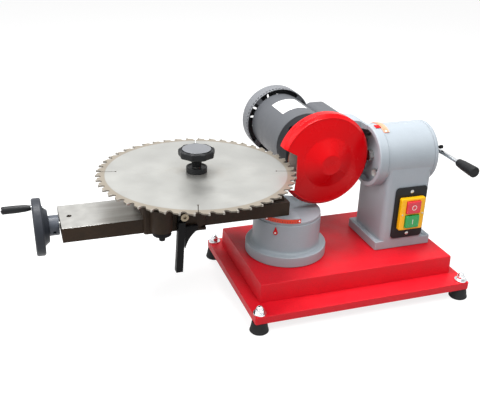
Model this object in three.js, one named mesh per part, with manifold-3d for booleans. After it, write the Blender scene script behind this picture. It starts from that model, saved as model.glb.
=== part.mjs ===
// A bench machine that sharpens circular saw blades, at its real size in millimetres, +Z up.
// The blade lies flat on a carriage on a swivelling arm, and a tilting head carries the motor,
// whose dish wheel grinds the tooth that stands on the swivel axis.

import * as THREE from "three";
import { mergeVertices, toCreasedNormals } from "three/addons/utils/BufferGeometryUtils.js";
import Module from "manifold-3d";

const wasm = await Module();
wasm.setup();

// Fits and cutting
const fitGap = 0.3;
const cutOverrun = 3;
const weldDistance = 0.001;
const leastCorner = 0.2;

// Where the machine's axes lie, from the middle of the base plate's underside
const swivelAxisX = -90;
const machineAxisY = 8.5;
const headAxisHeight = 205;

// Base plate and box
const plateLength = 387;
const plateWidth = 271;
const plateThickness = 13;
const plateCorner = 3;
const plateEdgeRound = 1.5;
const plateWall = 5;
const plateDeck = 4;
const plateBossRadius = 15;
const boxInsetX = 17;
const boxInsetY = 29.75;
const boxLength = plateLength - 2 * boxInsetX;
const boxWidth = plateWidth - 2 * boxInsetY;
const boxHeight = 32.2;
const boxOffsetX = 3.5;
const boxDraft = 1.5;
const boxCorner = 3.5;
const boxEdgeRound = 2.5;
const boxWall = 4;

// Feet and their bolts
const footInsetX = 10.5;
const footInsetY = 11;
const footHeight = 19.5;
const footLowerRadius = 15.6;
const footUpperRadius = 12;
const footEdgeRound = 2;
const footBoltRadius = 4;
const footBoltReach = 12;
const footWasherRadius = 10.5;
const footWasherThickness = 2;
const footNutAcrossFlats = 13;
const footNutHeight = 6.5;
const footNutDomeRadius = 5.6;

// Swivel base
const ringRadius = 69.2;
const ringHeight = 18.2;
const ringEdgeRound = 3;
const drumRadius = 57.4;
const drumEdgeRound = 0.8;
const drumFillet = 4.5;
const drumWall = 7;
const drumDeck = 10;
const spigotRadius = 24;
const spigotShare = 0.5375;
const hubWall = 8;
const pointerAngle = 230;
const pointerHeightShare = 0.8062;
const pointerRadius = 3.8;
const pointerLength = 11;
const pointerThickness = 1.6;

// Swivel table
const tableRadius = 56.6;
const tableHeight = 4.5;
const seatHeight = 12.9;
const seatEdgeX = 1;
const tableEdgeRound = 0.8;
const scaleThickness = 0.7;
const tableScaleWidth = 7;
const tableScaleRise = 4.6;
const tableScaleStart = 210;
const tableScaleEnd = 271;

// Arm
const barLength = 360.3;
const barEndX = -13.5;
const barWidth = 83;
const barHeight = 23.7;
const barEdge = 0.8;
const channelWidth = 26;
const channelHeight = 18.2;
const channelRun = 13.5;
const barEndWall = 16;
const slotWidth = 43;
const slotRun = 3.5;
const oilHoleRadius = 4;
const oilHoleInset = 14.5;
const oilHoleDepth = 3;
const screwRadius = 6;
const screwHeight = 11;
const screwJournalRadius = 4.5;
const screwJournalLength = 7;
const clampPlateX = -37;
const clampPlateLength = 34;
const clampPlateWidth = 66;
const clampPlateThickness = 7;
const clampBoltSpacing = 24;
const clampBoltRadius = 5;
const clampBoltAcrossFlats = 17;
const clampBoltHead = 6.4;
const clampBoltBite = 11;

// Handwheel and its crank
const wheelRimRadius = 44.2;
const wheelRimInnerRadius = 34;
const wheelRimWidth = 14;
const wheelRimRound = 2;
const wheelHubRadius = 15.5;
const wheelHubLength = 21.6;
const wheelFaceDish = 4;
const wheelConeRadius = 32;
const collarRadius = 14.3;
const collarLength = 13;
const collarStandoff = 3.2;
const collarGrubRadius = 2.6;
const collarGrubDepth = 4;
const collarGrubAngle = 20;
const crankRadius = 33;
const crankPinRadius = 2.5;
const crankPinHeadRadius = 4;
const crankPinHeadLength = 2;
const gripLength = 43;
const gripNeckRadius = 4;
const gripEndRadius = 5.9;
const gripRound = 1.2;

// Carriage
const bladeSetback = 1;
const bladeRise = 75;
const saddleLeftX = 95;
const saddleRightX = 3.5;
const saddleCheek = 5.2;
const saddleTop = 52;
const saddleCorner = 4;
const saddleEdgeRound = 2;
const spindleBossRadius = 27;
const spindleBossTop = 61;
const clampBossRadius = 17;
const clampBossX = 68.5;
const clampBossY = 50.5;
const clampBossTop = 44;
const bossBoltRadius = 5.5;
const bossBoltWasherRadius = 12.5;
const bossBoltWasherThickness = 3.4;
const bossBoltTail = 5.4;
const bossBoltDepth = 30;
const keeperLength = 46;
const keeperThickness = 4;
const keeperEndX = 3;
const nutLength = 30;
const nutEndX = 18;
const nutTop = 17.6;

// Blade and what holds it
const bladeRadius = 157.5;
const bladeThickness = 2.2;
const bladeBore = 15;
const bladeTeeth = 48;
const bladeRestTurn = 0.7;
const gulletDepth = 9;
const toothFaceDepth = 5.5;
const tipStand = 0.4;
const tipThickness = 3.2;
const tipLength = 6;
const tipWidth = 2.6;
const tipProud = 0.15;
const gulletShares = [[0.08, 0.92], [0.2, 1], [0.34, 0.8]];
const toothHeelShare = 0.47;
const toothHeelDropShare = 0.3;
const reliefSlots = 4;
const reliefSlotLength = 22;
const reliefSlotWidth = 1.2;
const reliefHoleRadius = 2.2;
const reliefSlotTooth = 3.47;
const arborFlangeRadius = 24;
const arborFlangeStep = 18;
const arborPilotRise = 0.9;
const arborStudRadius = 6;
const arborStudReach = 26;
const washerRadius = 16.6;
const washerThickness = 8.5;
const knobNeckLowerRadius = 7.5;
const knobNeckUpperRadius = 11.4;
const knobNeckLength = 16.5;
const knobRadius = 29;
const knobThickness = 12;
const knobLobes = 9;
const knobLobeDepth = 2.2;
const knobEdgeRound = 3;
const knobDiscRadius = 24;
const knobDiscRise = 1;

// Tooth stop
const stopPivotX = -34.5;
const stopPivotHeight = 27;
const stopScrewRadius = 6.5;
const stopScrewHead = 6;
const stopScrewShank = 3;
const stopScrewSocket = 2.5;
const stopScrewBite = 6;
const stopBarWidth = 11;
const stopBarLength = 86;
const stopBarTopX = -38.5;
const stopBarBottomX = -43.5;
const stopBarTopDrop = 9;
const stopEyeRadius = 8.5;
const stopArmReach = 19;
const stopArmWidth = 8;
const stopArmThickness = 6;
const stopArmAngle = 122;
const stopPlateThickness = 4;
const stopPlateTipX = -10.5;
const stopPlateTipDrop = 26;
const stopPlateToeX = -32;
const stopPlateToeDrop = 57;
const stopPlateTopDrop = 23;
const stopPlateCurveX = -27;
const stopPlateCurveDrop = 37;
const stopStudRadius = 2.4;
const stopStudRibRadius = 3;
const stopStudLength = 18;
const stopStudRibs = 7;
const stopStudDrop = 20.5;

// Column and head housing
const columnLeftX = 67;
const columnRightX = 151.7;
const columnFrontReach = 51.4;
const columnBackReach = 46;
const columnCorner = 10;
const columnFootLeftX = 57.5;
const columnFootRightX = 166.6;
const columnFootThickness = 15.9;
const columnFootCorner = 4;
const columnFootEdgeRound = 1.5;
const columnWall = 7;
const columnCavityTop = 60;
const housingStartX = 64.5;
const housingRadius = 52.6;
const housingCollarRadius = 53.4;
const housingCollarLength = 1.5;
const housingEndX = 151.7;
const endCapThickness = 8.5;
const endCapRound = 5;
const shaftRadius = 21.5;
const flangeRadius = 42;
const flangeThickness = 8;
const flangePocketDepth = 9;
const headScaleLength = 10;
const headScaleStart = 64;
const headScaleEnd = 118;
const glandRadius = 9;
const glandNutRadius = 11;
const glandLength = 18;
const glandNutLength = 7;
const glandHeight = 40;
const glandBore = 4;

// Switch
const switchX = 115.2;
const switchPlateWidth = 60.5;
const switchPlateHeight = 95;
const switchPlateCentre = 113.5;
const switchPlateThickness = 2.5;
const switchPlateCorner = 6;
const switchFrameX = 116.5;
const switchFrameWidth = 46.5;
const switchFrameHeight = 59;
const switchFrameCentre = 114;
const switchFrameThickness = 7.5;
const switchFrameCorner = 3;
const switchFrameEdge = 1.5;
const buttonWidth = 26;
const buttonHeight = 22.5;
const buttonSpacing = 26.6;
const buttonGap = 0.5;
const buttonProud = 4;
const buttonTravel = 2.5;
const buttonCorner = 1.5;
const buttonEdge = 1.2;

// Feed shaft, lever and tilt
const shaftTailRadius = 10;
const leverPivotX = 172.5;
const leverArm = 16;
const leverRestAngle = -1.5;
const leverBossThickness = 11;
const leverBossWidth = 11;
const leverCentreHeight = 9;
const leverPinRadius = 3;
const leverPinHead = 2;
const leverSlotPlay = 1;
const leverRodRadius = 3.8;
const leverRodReach = 87;
const gripStart = 75.5;
const leverGripLength = 45;
const leverGripNeckRadius = 6.5;
const leverGripEndRadius = 9;
const leverGripRound = 1.5;
const lugSide = 6.5;
const lugDepth = 16;
const feedStopY = 38.5;
const feedStopHeight = 18;
const feedStopRadius = 2.2;
const feedStopHeadRadius = 3.2;
const feedStopHeadLength = 5;
const feedStopLength = 12;
const feedStopBite = 5;
const tiltBoltRadius = 4;
const tiltBoltAcrossFlats = 13;
const tiltBoltHead = 5.3;
const tiltBoltPitchRadius = 33;
const tiltBoltAngle = 45;
const tiltRange = 20;
const tiltSlotPlay = 3;
const pivotBoltRadius = 6;
const pivotBoltAcrossFlats = 19;
const pivotBoltHead = 7.5;

// Head bracket
const cupRadius = 53.3;
const cupBoreRadius = 45.6;
const cupRimX = 48.5;
const cupFloor = 4.2;
const cupEdgeRound = 1.5;
const webFrontY = 38;
const webBackY = 66;
const webTopHeight = 54;
const webBottomHeight = -44;
const webRound = 12;
const webInnerX = -20;
const hoodFrontY = 2;
const hoodStraight = 19;
const hoodLowHeight = 14;
const hoodSweepX = 22;
const headPointerWidth = 9;
const headPointerThickness = 1.4;
const headPointerAngle = 100;

// Motor
const motorX = -30;
const motorRise = 2.5;
const motorRadius = 54;
const bellStart = 24.5;
const bellLength = 52;
const bellRound = 7;
const bellHoleRadius = 4.6;
const bellHoleDepth = 6;
const bellHoleStation = 55.5;
const bellHoleAngle = 136;
const bodyLength = 133;
const bodyEndRadius = 50;
const fanCoverRadius = 63.5;
const fanCoverWall = 1.8;
const fanCoverStart = 204;
const fanCoverEnd = 246;
const fanCoverRound = 12;
const fanCoverLugs = 4;
const fanCoverLugWidth = 12;
const fanCoverLugLength = 5;
const ventHoles = 6;
const ventHoleRadius = 3.5;
const ventHoleStation = 218;
const backSlots = 14;
const backSlotWidth = 4;
const backSlotInner = 20;
const backSlotOuter = 44;
const shaftBoreGap = 0.4;
const rotorRadius = 8;
const rotorShoulderRadius = 17;
const rotorShoulderLength = 6;
const rotorTail = 12;
const fanHubRadius = 14;
const fanRadius = 48;
const fanDisc = 2.5;
const fanBlades = 8;
const fanBladeHeight = 12;
const fanBladeThickness = 2;
const fanBladeRoot = 18;
const fanGap = 6;
const terminalRightX = 101;
const terminalLeftX = 44;
const terminalTop = 47.5;
const terminalBottom = -30;
const terminalStart = 84;
const terminalLength = 78;
const terminalRound = 10;
const terminalEdge = 3;

// Grinding wheel and guard
const grindRadius = 62.5;
const grindThickness = 9.6;
const grindEdge = 3;
const grindBackRadius = 53;
const grindDishRadius = 40;
const grindDishDepth = 4;
const grindBore = 10;
const grindClearance = 0.5;
const nutFlangeRadius = 19;
const nutFlangeThickness = 4;
const wheelNutAcrossFlats = 24;
const wheelNutThickness = 8;
const guardRadius = 79.3;
const guardWall = 2;
const guardOffsetX = -1.5;
const guardBackY = 6.5;
const guardFaceY = -10.5;
const guardEdgeRound = 2;
const guardStepRadius = 73.4;
const guardStepY = -14.2;
const guardDomeRadius = 42;
const guardDomeY = -21;
const guardCapRadius = 19.5;
const guardCapY = -33;
const guardNoseY = -35;
const guardNoseRadius = 16;
const notchDepthX = -53.3;
const notchTop = 15.4;
const notchBottom = -47.5;
const notchRise = 15;
const notchRun = 29;
const guardSlotAngles = [122, 134];
const guardSlotLength = 9;
const guardSlotWidth = 1.6;
const guardSlotY = -2;
const guardBracketInner = 30;
const guardBracketStartAngle = -80;
const guardBracketEndAngle = 40;
const guardBracketThickness = 3;
const guardBracketOverlap = 8;

// Smoothness of round shapes, as counts
const roundSteps = 48;
const middleSteps = 32;
const smallSteps = 20;
const tinySteps = 12;
const curveSteps = 10;
const cornerSteps = 3;
const edgeSteps = 2;
const creaseAngle = 0.6;

const quarterTurn = Math.PI / 2;
const fullTurn = 2 * Math.PI;
const radians = THREE.MathUtils.degToRad;

const finishes = {
  redPaint: { color: 0xc8141c, roughness: 0.5, metalness: 0.1 },
  redGloss: { color: 0xe00010, roughness: 0.2, metalness: 0.05 },
  castGrey: { color: 0x9aa0a4, roughness: 0.6, metalness: 0.2 },
  motorGrey: { color: 0x4b5157, roughness: 0.5, metalness: 0.2 },
  bellGrey: { color: 0x3a3f44, roughness: 0.5, metalness: 0.2 },
  brownIron: { color: 0x4a3d38, roughness: 0.5, metalness: 0.4 },
  blackPlastic: { color: 0x1c1d20, roughness: 0.45, metalness: 0 },
  wheelPlastic: { color: 0x55585e, roughness: 0.5, metalness: 0 },
  rubber: { color: 0x151515, roughness: 0.8, metalness: 0 },
  chrome: { color: 0xd9dcdf, roughness: 0.12, metalness: 1 },
  steel: { color: 0xb9bbb9, roughness: 0.3, metalness: 0.9 },
  bladeSteel: { color: 0xd5d3cd, roughness: 0.35, metalness: 0.8 },
  scaleOrange: { color: 0xe0552a, roughness: 0.5, metalness: 0.1 },
  yellow: { color: 0xf2c100, roughness: 0.35, metalness: 0 },
  stopRed: { color: 0xd8202c, roughness: 0.3, metalness: 0 },
  startGreen: { color: 0x12a04a, roughness: 0.3, metalness: 0 },
  abrasive: { color: 0x7a4a34, roughness: 0.9, metalness: 0 },
};

// Solids. A closed geometry becomes a manifold solid for a boolean and comes back as a geometry.

function solidOf(geometry) {
  const bare = new THREE.BufferGeometry();
  bare.setAttribute("position", geometry.getAttribute("position").clone());
  if (geometry.index) {
    bare.setIndex(geometry.index.clone());
  }
  const merged = mergeVertices(bare, weldDistance);
  const corners = merged.index.array;
  const kept = [];
  for (let i = 0; i < corners.length; i += 3) {
    const [a, b, c] = corners.slice(i, i + 3);
    if (a !== b && b !== c && c !== a) {
      kept.push(a, b, c);
    }
  }
  return new wasm.Manifold(new wasm.Mesh({
    numProp: 3,
    vertProperties: new Float32Array(merged.getAttribute("position").array),
    triVerts: new Uint32Array(kept),
  }));
}

function geometryOf(solid) {
  const mesh = solid.getMesh();
  const geometry = new THREE.BufferGeometry();
  geometry.setAttribute("position", new THREE.BufferAttribute(mesh.vertProperties, mesh.numProp));
  geometry.setIndex(new THREE.BufferAttribute(mesh.triVerts, 1));
  return geometry;
}

function joined(...geometries) {
  return geometryOf(geometries.map(solidOf).reduce((whole, next) => whole.add(next)));
}

function cut(geometry, ...tools) {
  return geometryOf(tools.map(solidOf).reduce((left, tool) => left.subtract(tool), solidOf(geometry)));
}

function common(geometry, other) {
  return geometryOf(solidOf(geometry).intersect(solidOf(other)));
}

function piece(name, geometry, finish) {
  const closed = geometryOf(solidOf(geometry));
  const mesh = new THREE.Mesh(
    toCreasedNormals(closed, creaseAngle),
    new THREE.MeshStandardMaterial({ ...finish }),
  );
  mesh.name = name;
  return mesh;
}

function groupAt(x, y, z, ...children) {
  const group = new THREE.Group();
  group.position.set(x, y, z);
  group.add(...children);
  return group;
}

// Shapes

function blockBetween([x0, x1], [y0, y1], [z0, z1]) {
  const geometry = new THREE.BoxGeometry(x1 - x0, y1 - y0, z1 - z0);
  return geometry.translate((x0 + x1) / 2, (y0 + y1) / 2, (z0 + z1) / 2);
}

// Turns a profile of [radius, station] points about the x, y or z axis.
function turned(axis, profile, steps = roundSteps) {
  const points = profile.map(([radius, station]) => new THREE.Vector2(radius, station));
  if (THREE.ShapeUtils.area(points) < 0) {
    points.reverse();
  }
  if (points[0].x > 0) {
    points.push(points[0].clone());
  }
  const geometry = new THREE.LatheGeometry(points, steps);
  if (axis === "z") {
    geometry.rotateX(quarterTurn);
  }
  if (axis === "x") {
    geometry.rotateZ(-quarterTurn);
  }
  return geometry;
}

function rod(axis, radius, from, to, steps = smallSteps) {
  return turned(axis, [[0, from], [radius, from], [radius, to], [0, to]], steps);
}

// A quarter round from one profile point to another, bulging towards the corner between them.
function quarterRound(centre, radius, startAngle, steps = edgeSteps) {
  const points = [];
  for (let i = 0; i <= steps; i += 1) {
    const angle = startAngle + (quarterTurn * i) / steps;
    points.push([centre[0] + radius * Math.cos(angle), centre[1] + radius * Math.sin(angle)]);
  }
  return points;
}

// Gives an outline drawn in local X and Y a depth from one station to another along an axis.
// Along x the outline is read as (y, z), along y as (x, z) and along z as (x, y).
function extruded(shape, axis, from, to) {
  const geometry = new THREE.ExtrudeGeometry(shape, {
    depth: to - from,
    bevelEnabled: false,
    curveSegments: curveSteps,
  });
  geometry.translate(0, 0, axis === "y" ? -to : from);
  return alongAxis(geometry, axis);
}

function alongAxis(geometry, axis) {
  if (axis === "x") {
    geometry.applyMatrix4(new THREE.Matrix4().set(0, 0, 1, 0, 1, 0, 0, 0, 0, 1, 0, 0, 0, 0, 0, 1));
  }
  if (axis === "y") {
    geometry.rotateX(quarterTurn);
  }
  return geometry;
}

function shapeOf(points) {
  return new THREE.Shape(points.map(([x, y]) => new THREE.Vector2(x, y)));
}

function sectorShape(innerRadius, outerRadius, startDegrees, endDegrees) {
  const start = radians(startDegrees);
  const end = radians(endDegrees);
  const shape = new THREE.Shape();
  shape.absarc(0, 0, outerRadius, start, end, false);
  shape.absarc(0, 0, innerRadius, end, start, true);
  shape.closePath();
  return shape;
}

function hexagonShape(acrossFlats) {
  const radius = acrossFlats / 2 / Math.cos(Math.PI / 6);
  const points = [];
  for (let i = 0; i < 6; i += 1) {
    points.push([radius * Math.cos((fullTurn * i) / 6), radius * Math.sin((fullTurn * i) / 6)]);
  }
  return shapeOf(points);
}

function roundedRectangle(length, width, corner) {
  const points = [];
  for (let quarter = 0; quarter < 4; quarter += 1) {
    const sideX = quarter === 0 || quarter === 3 ? 1 : -1;
    const sideY = quarter < 2 ? 1 : -1;
    for (let i = 0; i <= cornerSteps; i += 1) {
      const angle = quarterTurn * (quarter + i / cornerSteps);
      points.push(new THREE.Vector2(
        sideX * (length / 2 - corner) + corner * Math.cos(angle),
        sideY * (width / 2 - corner) + corner * Math.sin(angle),
      ));
    }
  }
  return points;
}

// Skins a stack of outlines of one point count, the lowest first.
function loft(sections) {
  const count = sections[0].outline.length;
  const positions = [];
  for (const { outline, at } of sections) {
    for (const point of outline) {
      positions.push(point.x, point.y, at);
    }
  }
  const faces = [];
  for (let level = 1; level < sections.length; level += 1) {
    for (let i = 0; i < count; i += 1) {
      const low = (level - 1) * count + i;
      const next = (level - 1) * count + ((i + 1) % count);
      faces.push(low, next, next + count, low, next + count, low + count);
    }
  }
  for (const [a, b, c] of THREE.ShapeUtils.triangulateShape(sections[0].outline, [])) {
    faces.push(c, b, a);
  }
  const top = (sections.length - 1) * count;
  for (const [a, b, c] of THREE.ShapeUtils.triangulateShape(sections.at(-1).outline, [])) {
    faces.push(top + a, top + b, top + c);
  }
  const geometry = new THREE.BufferGeometry();
  geometry.setAttribute("position", new THREE.Float32BufferAttribute(positions, 3));
  geometry.setIndex(faces);
  return geometry;
}

// Stations and insets of a block whose lower and upper edges are rounded and whose sides lean in.
function edgeLevels(height, lowerRound, upperRound, draft) {
  const levels = [];
  const steps = lowerRound > 0 ? edgeSteps : 0;
  for (let i = 0; i < steps; i += 1) {
    const angle = (quarterTurn * i) / edgeSteps;
    levels.push([lowerRound * (1 - Math.cos(angle)), lowerRound * (1 - Math.sin(angle))]);
  }
  levels.push([lowerRound, 0]);
  const upperSteps = upperRound > 0 ? edgeSteps : 0;
  levels.push([height - upperRound, 0]);
  for (let i = 1; i <= upperSteps; i += 1) {
    const angle = (quarterTurn * i) / edgeSteps;
    levels.push([height - upperRound * (1 - Math.sin(angle)), upperRound * (1 - Math.cos(angle))]);
  }
  return levels.map(([at, inset]) => [at, inset + (draft * at) / height]);
}

function slab({ length, width, height, corner, lowerRound = 0, upperRound = 0, draft = 0 }) {
  return loft(edgeLevels(height, lowerRound, upperRound, draft).map(([at, inset]) => ({
    at,
    outline: roundedRectangle(
      length - 2 * inset,
      width - 2 * inset,
      Math.max(corner - inset, leastCorner),
    ),
  })));
}

// Base

function footPlaces() {
  const x = plateLength / 2 - footInsetX;
  const y = plateWidth / 2 - footInsetY;
  return {
    front_left: [-x, -y],
    front_right: [x, -y],
    rear_left: [-x, y],
    rear_right: [x, y],
  };
}

function basePlate() {
  const tray = cut(
    slab({
      length: plateLength,
      width: plateWidth,
      height: plateThickness,
      corner: plateCorner,
      upperRound: plateEdgeRound,
    }),
    slab({
      length: plateLength - 2 * plateWall,
      width: plateWidth - 2 * plateWall,
      height: plateThickness - plateDeck + cutOverrun,
      corner: plateCorner,
    }).translate(0, 0, -cutOverrun),
  );
  const places = Object.values(footPlaces());
  const inside = slab({
    length: plateLength - plateWall,
    width: plateWidth - plateWall,
    height: plateThickness - plateDeck / 2,
    corner: plateCorner,
  });
  const bosses = places.map(([x, y]) => common(
    rod("z", plateBossRadius, 0, plateThickness - plateDeck / 2).translate(x, y, 0),
    inside,
  ));
  const footHole = footBoltRadius + fitGap;
  const holes = places.map(([x, y]) => (
    rod("z", footHole, -cutOverrun, plateThickness + cutOverrun, tinySteps).translate(x, y, 0)
  ));
  return cut(joined(tray, ...bosses), ...holes);
}

function baseBox() {
  return cut(
    slab({
      length: boxLength,
      width: boxWidth,
      height: boxHeight,
      corner: boxCorner,
      upperRound: boxEdgeRound,
      draft: boxDraft,
    }),
    slab({
      length: boxLength - 2 * boxWall,
      width: boxWidth - 2 * boxWall,
      height: boxHeight - boxWall + cutOverrun,
      corner: boxCorner - boxWall / 2,
      draft: boxDraft,
    }).translate(0, 0, -cutOverrun),
  ).translate(boxOffsetX, machineAxisY, plateThickness + fitGap);
}

const boxTop = plateThickness + fitGap + boxHeight;

// The pedestal's drum makes up the height that puts the blade level with the head's axis.
const drumHeight = headAxisHeight - boxTop - seatHeight - bladeRise - 3 * fitGap;
const spigotLength = drumHeight * spigotShare;
const swivelToBladeX = -bladeSetback - bladeRadius;
const channelEndX = swivelToBladeX - channelRun;
const slotStartX = swivelToBladeX - slotRun;

function foot() {
  const top = -fitGap;
  return cut(
    turned("z", [
      [0, -footHeight],
      [footLowerRadius - footEdgeRound, -footHeight],
      [footLowerRadius, footEdgeRound - footHeight],
      [footUpperRadius, top],
      [0, top],
    ], smallSteps),
    rod("z", footBoltRadius + fitGap, -footBoltReach - fitGap, cutOverrun, tinySteps),
  );
}

function footBolt() {
  const washer = plateThickness + fitGap;
  const nut = washer + footWasherThickness;
  const dome = nut + footNutHeight;
  return joined(
    turned("z", [
      [0, -footBoltReach],
      [footBoltRadius, -footBoltReach],
      [footBoltRadius, washer],
      [footWasherRadius, washer],
      [footWasherRadius, nut],
      [footNutDomeRadius, nut],
      ...quarterRound([0, dome], footNutDomeRadius, 0).slice(0, -1),
      [0, dome + footNutDomeRadius],
    ], smallSteps),
    extruded(hexagonShape(footNutAcrossFlats), "z", nut - footWasherThickness / 2, dome),
  );
}

function baseGroup() {
  const group = groupAt(
    0,
    0,
    0,
    piece("base_plate", basePlate(), finishes.redPaint),
    piece("base_box", baseBox(), finishes.redPaint),
  );
  for (const [place, [x, y]] of Object.entries(footPlaces())) {
    group.add(groupAt(
      x,
      y,
      0,
      piece(`foot_${place}`, foot(), finishes.rubber),
      piece(`foot_bolt_${place}`, footBolt(), finishes.chrome),
    ));
  }
  return group;
}

// Pedestal

function swivelBase() {
  const boreRadius = spigotRadius + fitGap;
  const hubRadius = boreRadius + hubWall;
  const hubBottom = drumHeight - spigotLength - fitGap;
  const innerRadius = drumRadius - drumWall;
  const ceiling = drumHeight - drumDeck;
  const filletCentre = [drumRadius + drumFillet, ringHeight + drumFillet];
  return turned("z", [
    [ringRadius, 0],
    ...quarterRound([ringRadius - ringEdgeRound, ringHeight - ringEdgeRound], ringEdgeRound, 0),
    ...quarterRound(filletCentre, drumFillet, Math.PI).reverse(),
    ...quarterRound([drumRadius - drumEdgeRound, drumHeight - drumEdgeRound], drumEdgeRound, 0, 2),
    [boreRadius, drumHeight],
    [boreRadius, hubBottom],
    [hubRadius, hubBottom],
    [hubRadius, ceiling],
    [innerRadius, ceiling],
    [innerRadius, 0],
  ]);
}

// A drop-shaped pointer on the drum's wall, made at the front and turned to its angle.
function swivelPointer() {
  const shape = new THREE.Shape();
  shape.absarc(0, 0, pointerRadius, -Math.PI - quarterTurn / 3, quarterTurn / 3, false);
  shape.lineTo(0, pointerLength);
  shape.closePath();
  const frontReach = drumRadius + fitGap + pointerThickness;
  const drop = extruded(shape, "y", -frontReach, -drumRadius + pointerThickness);
  drop.translate(0, 0, drumHeight * pointerHeightShare);
  const wall = rod("z", drumRadius + fitGap, 0, drumHeight, roundSteps);
  const mesh = piece("swivel_pointer", cut(drop, wall), finishes.redGloss);
  mesh.rotation.z = radians(pointerAngle) + quarterTurn;
  return mesh;
}

// Swivel table

function swivelTable() {
  const disc = (height) => turned("z", [
    [0, 0],
    [tableRadius, 0],
    [tableRadius, height - tableEdgeRound],
    [tableRadius - tableEdgeRound, height],
    [0, height],
  ]);
  const seat = common(
    disc(seatHeight),
    blockBetween([-tableRadius - cutOverrun, seatEdgeX], [-tableRadius, tableRadius], [0, seatHeight]),
  );
  const spigot = rod("z", spigotRadius, -spigotLength, tableHeight / 2, middleSteps);
  const holes = clampBoltPlaces().map((y) => (
    rod("z", clampBoltRadius + fitGap, seatHeight - clampBoltBite - fitGap, seatHeight + cutOverrun)
      .translate(clampPlateX, y, 0)
  ));
  return cut(joined(disc(tableHeight), seat, spigot), ...holes);
}

function swivelScale() {
  const inner = tableRadius + fitGap;
  const strip = sectorShape(inner, inner + scaleThickness, tableScaleStart, tableScaleEnd);
  return extruded(strip, "z", tableScaleRise, tableScaleRise + tableScaleWidth);
}

// Arm, with its origin on the swivel axis at the bar's underside

function clampBoltPlaces() {
  return [-clampBoltSpacing / 2, clampBoltSpacing / 2];
}

const barStartX = barEndX - barLength;

function armBar() {
  const channel = blockBetween(
    [barStartX + barEndWall, channelEndX],
    [-channelWidth / 2, channelWidth / 2],
    [-cutOverrun, channelHeight],
  );
  const slot = blockBetween(
    [slotStartX, barEndX + cutOverrun],
    [-slotWidth / 2, slotWidth / 2],
    [-cutOverrun, barHeight + cutOverrun],
  );
  const screwHole = rod("x", screwRadius + fitGap, barStartX - cutOverrun, channelEndX - fitGap)
    .translate(0, 0, screwHeight);
  const journalHole = rod(
    "x",
    screwJournalRadius + fitGap,
    channelEndX - cutOverrun,
    channelEndX + screwJournalLength + fitGap,
  ).translate(0, 0, screwHeight);
  const oilHole = rod("z", oilHoleRadius, barHeight - oilHoleDepth, barHeight + cutOverrun)
    .translate(barStartX + oilHoleInset, 0, 0);
  const bar = slab({
    length: barLength,
    width: barWidth,
    height: barHeight,
    corner: barEdge,
    lowerRound: barEdge,
    upperRound: barEdge,
  }).translate(barStartX + barLength / 2, 0, 0);
  return cut(bar, channel, slot, screwHole, journalHole, oilHole);
}

function clampPlate() {
  const plate = slab({
    length: clampPlateLength,
    width: clampPlateWidth,
    height: clampPlateThickness,
    corner: barEdge,
    upperRound: barEdge,
  }).translate(clampPlateX, 0, barHeight + fitGap);
  const holes = clampBoltPlaces().map((y) => (
    rod("z", clampBoltRadius + fitGap, 0, barHeight + clampPlateThickness + cutOverrun)
      .translate(clampPlateX, y, 0)
  ));
  return cut(plate, ...holes);
}

function clampBolt() {
  const head = barHeight + clampPlateThickness + 2 * fitGap;
  return joined(
    rod("z", clampBoltRadius, -fitGap - clampBoltBite, head + clampBoltHead / 2),
    extruded(hexagonShape(clampBoltAcrossFlats), "z", head, head + clampBoltHead),
  );
}

const handwheelX = barStartX - collarStandoff - collarLength - fitGap;

// The screw runs from inside the handwheel's hub to its journal at the channel's right end.
function leadScrew() {
  const left = handwheelX - wheelHubLength + wheelFaceDish + 2 * fitGap;
  return turned("x", [
    [0, left],
    [screwRadius, left],
    [screwRadius, channelEndX - fitGap],
    [screwJournalRadius, channelEndX - fitGap],
    [screwJournalRadius, channelEndX + screwJournalLength],
    [0, channelEndX + screwJournalLength],
  ], smallSteps).translate(0, 0, screwHeight);
}

// Handwheel, with its origin on the screw's axis at the hub's right face

function handwheel() {
  const rimLeft = -wheelHubLength;
  const rimRight = rimLeft + wheelRimWidth;
  const body = turned("x", [
    [0, 0],
    [wheelHubRadius, 0],
    [wheelConeRadius, rimRight - wheelRimRound],
    [wheelRimInnerRadius, rimRight],
    [wheelRimRadius - wheelRimRound, rimRight],
    [wheelRimRadius, rimRight - wheelRimRound],
    [wheelRimRadius, rimLeft + wheelRimRound],
    [wheelRimRadius - wheelRimRound, rimLeft],
    [wheelRimInnerRadius - wheelRimWidth / 2, rimLeft + wheelFaceDish],
    [0, rimLeft + wheelFaceDish],
  ], middleSteps);
  const bore = rod("x", screwRadius + fitGap, rimLeft + wheelFaceDish + fitGap, cutOverrun);
  const pinHole = rod("x", crankPinRadius + fitGap, rimLeft - cutOverrun, rimRight + cutOverrun, tinySteps)
    .translate(0, 0, crankRadius);
  return cut(body, bore, pinHole);
}

function handwheelCollar() {
  const collar = cut(
    rod("x", collarRadius, fitGap, fitGap + collarLength, middleSteps),
    rod("x", screwRadius + fitGap, -cutOverrun, collarLength + cutOverrun),
  );
  const grubEnd = collarGrubDepth - collarRadius;
  const grub = rod("y", collarGrubRadius, -collarRadius - cutOverrun, grubEnd, tinySteps)
    .translate(fitGap + collarLength / 2, 0, 0);
  return cut(collar, grub.rotateX(radians(collarGrubAngle)));
}

function crankPin() {
  const head = wheelRimWidth - wheelHubLength + fitGap;
  const tail = -wheelHubLength - gripLength - 2 * fitGap;
  return turned("x", [
    [0, tail - crankPinHeadLength],
    [crankPinHeadRadius, tail - crankPinHeadLength],
    [crankPinHeadRadius, tail],
    [crankPinRadius, tail],
    [crankPinRadius, head],
    [crankPinHeadRadius, head],
    [crankPinHeadRadius, head + crankPinHeadLength],
    [0, head + crankPinHeadLength],
  ], tinySteps).translate(0, 0, crankRadius);
}

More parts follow.
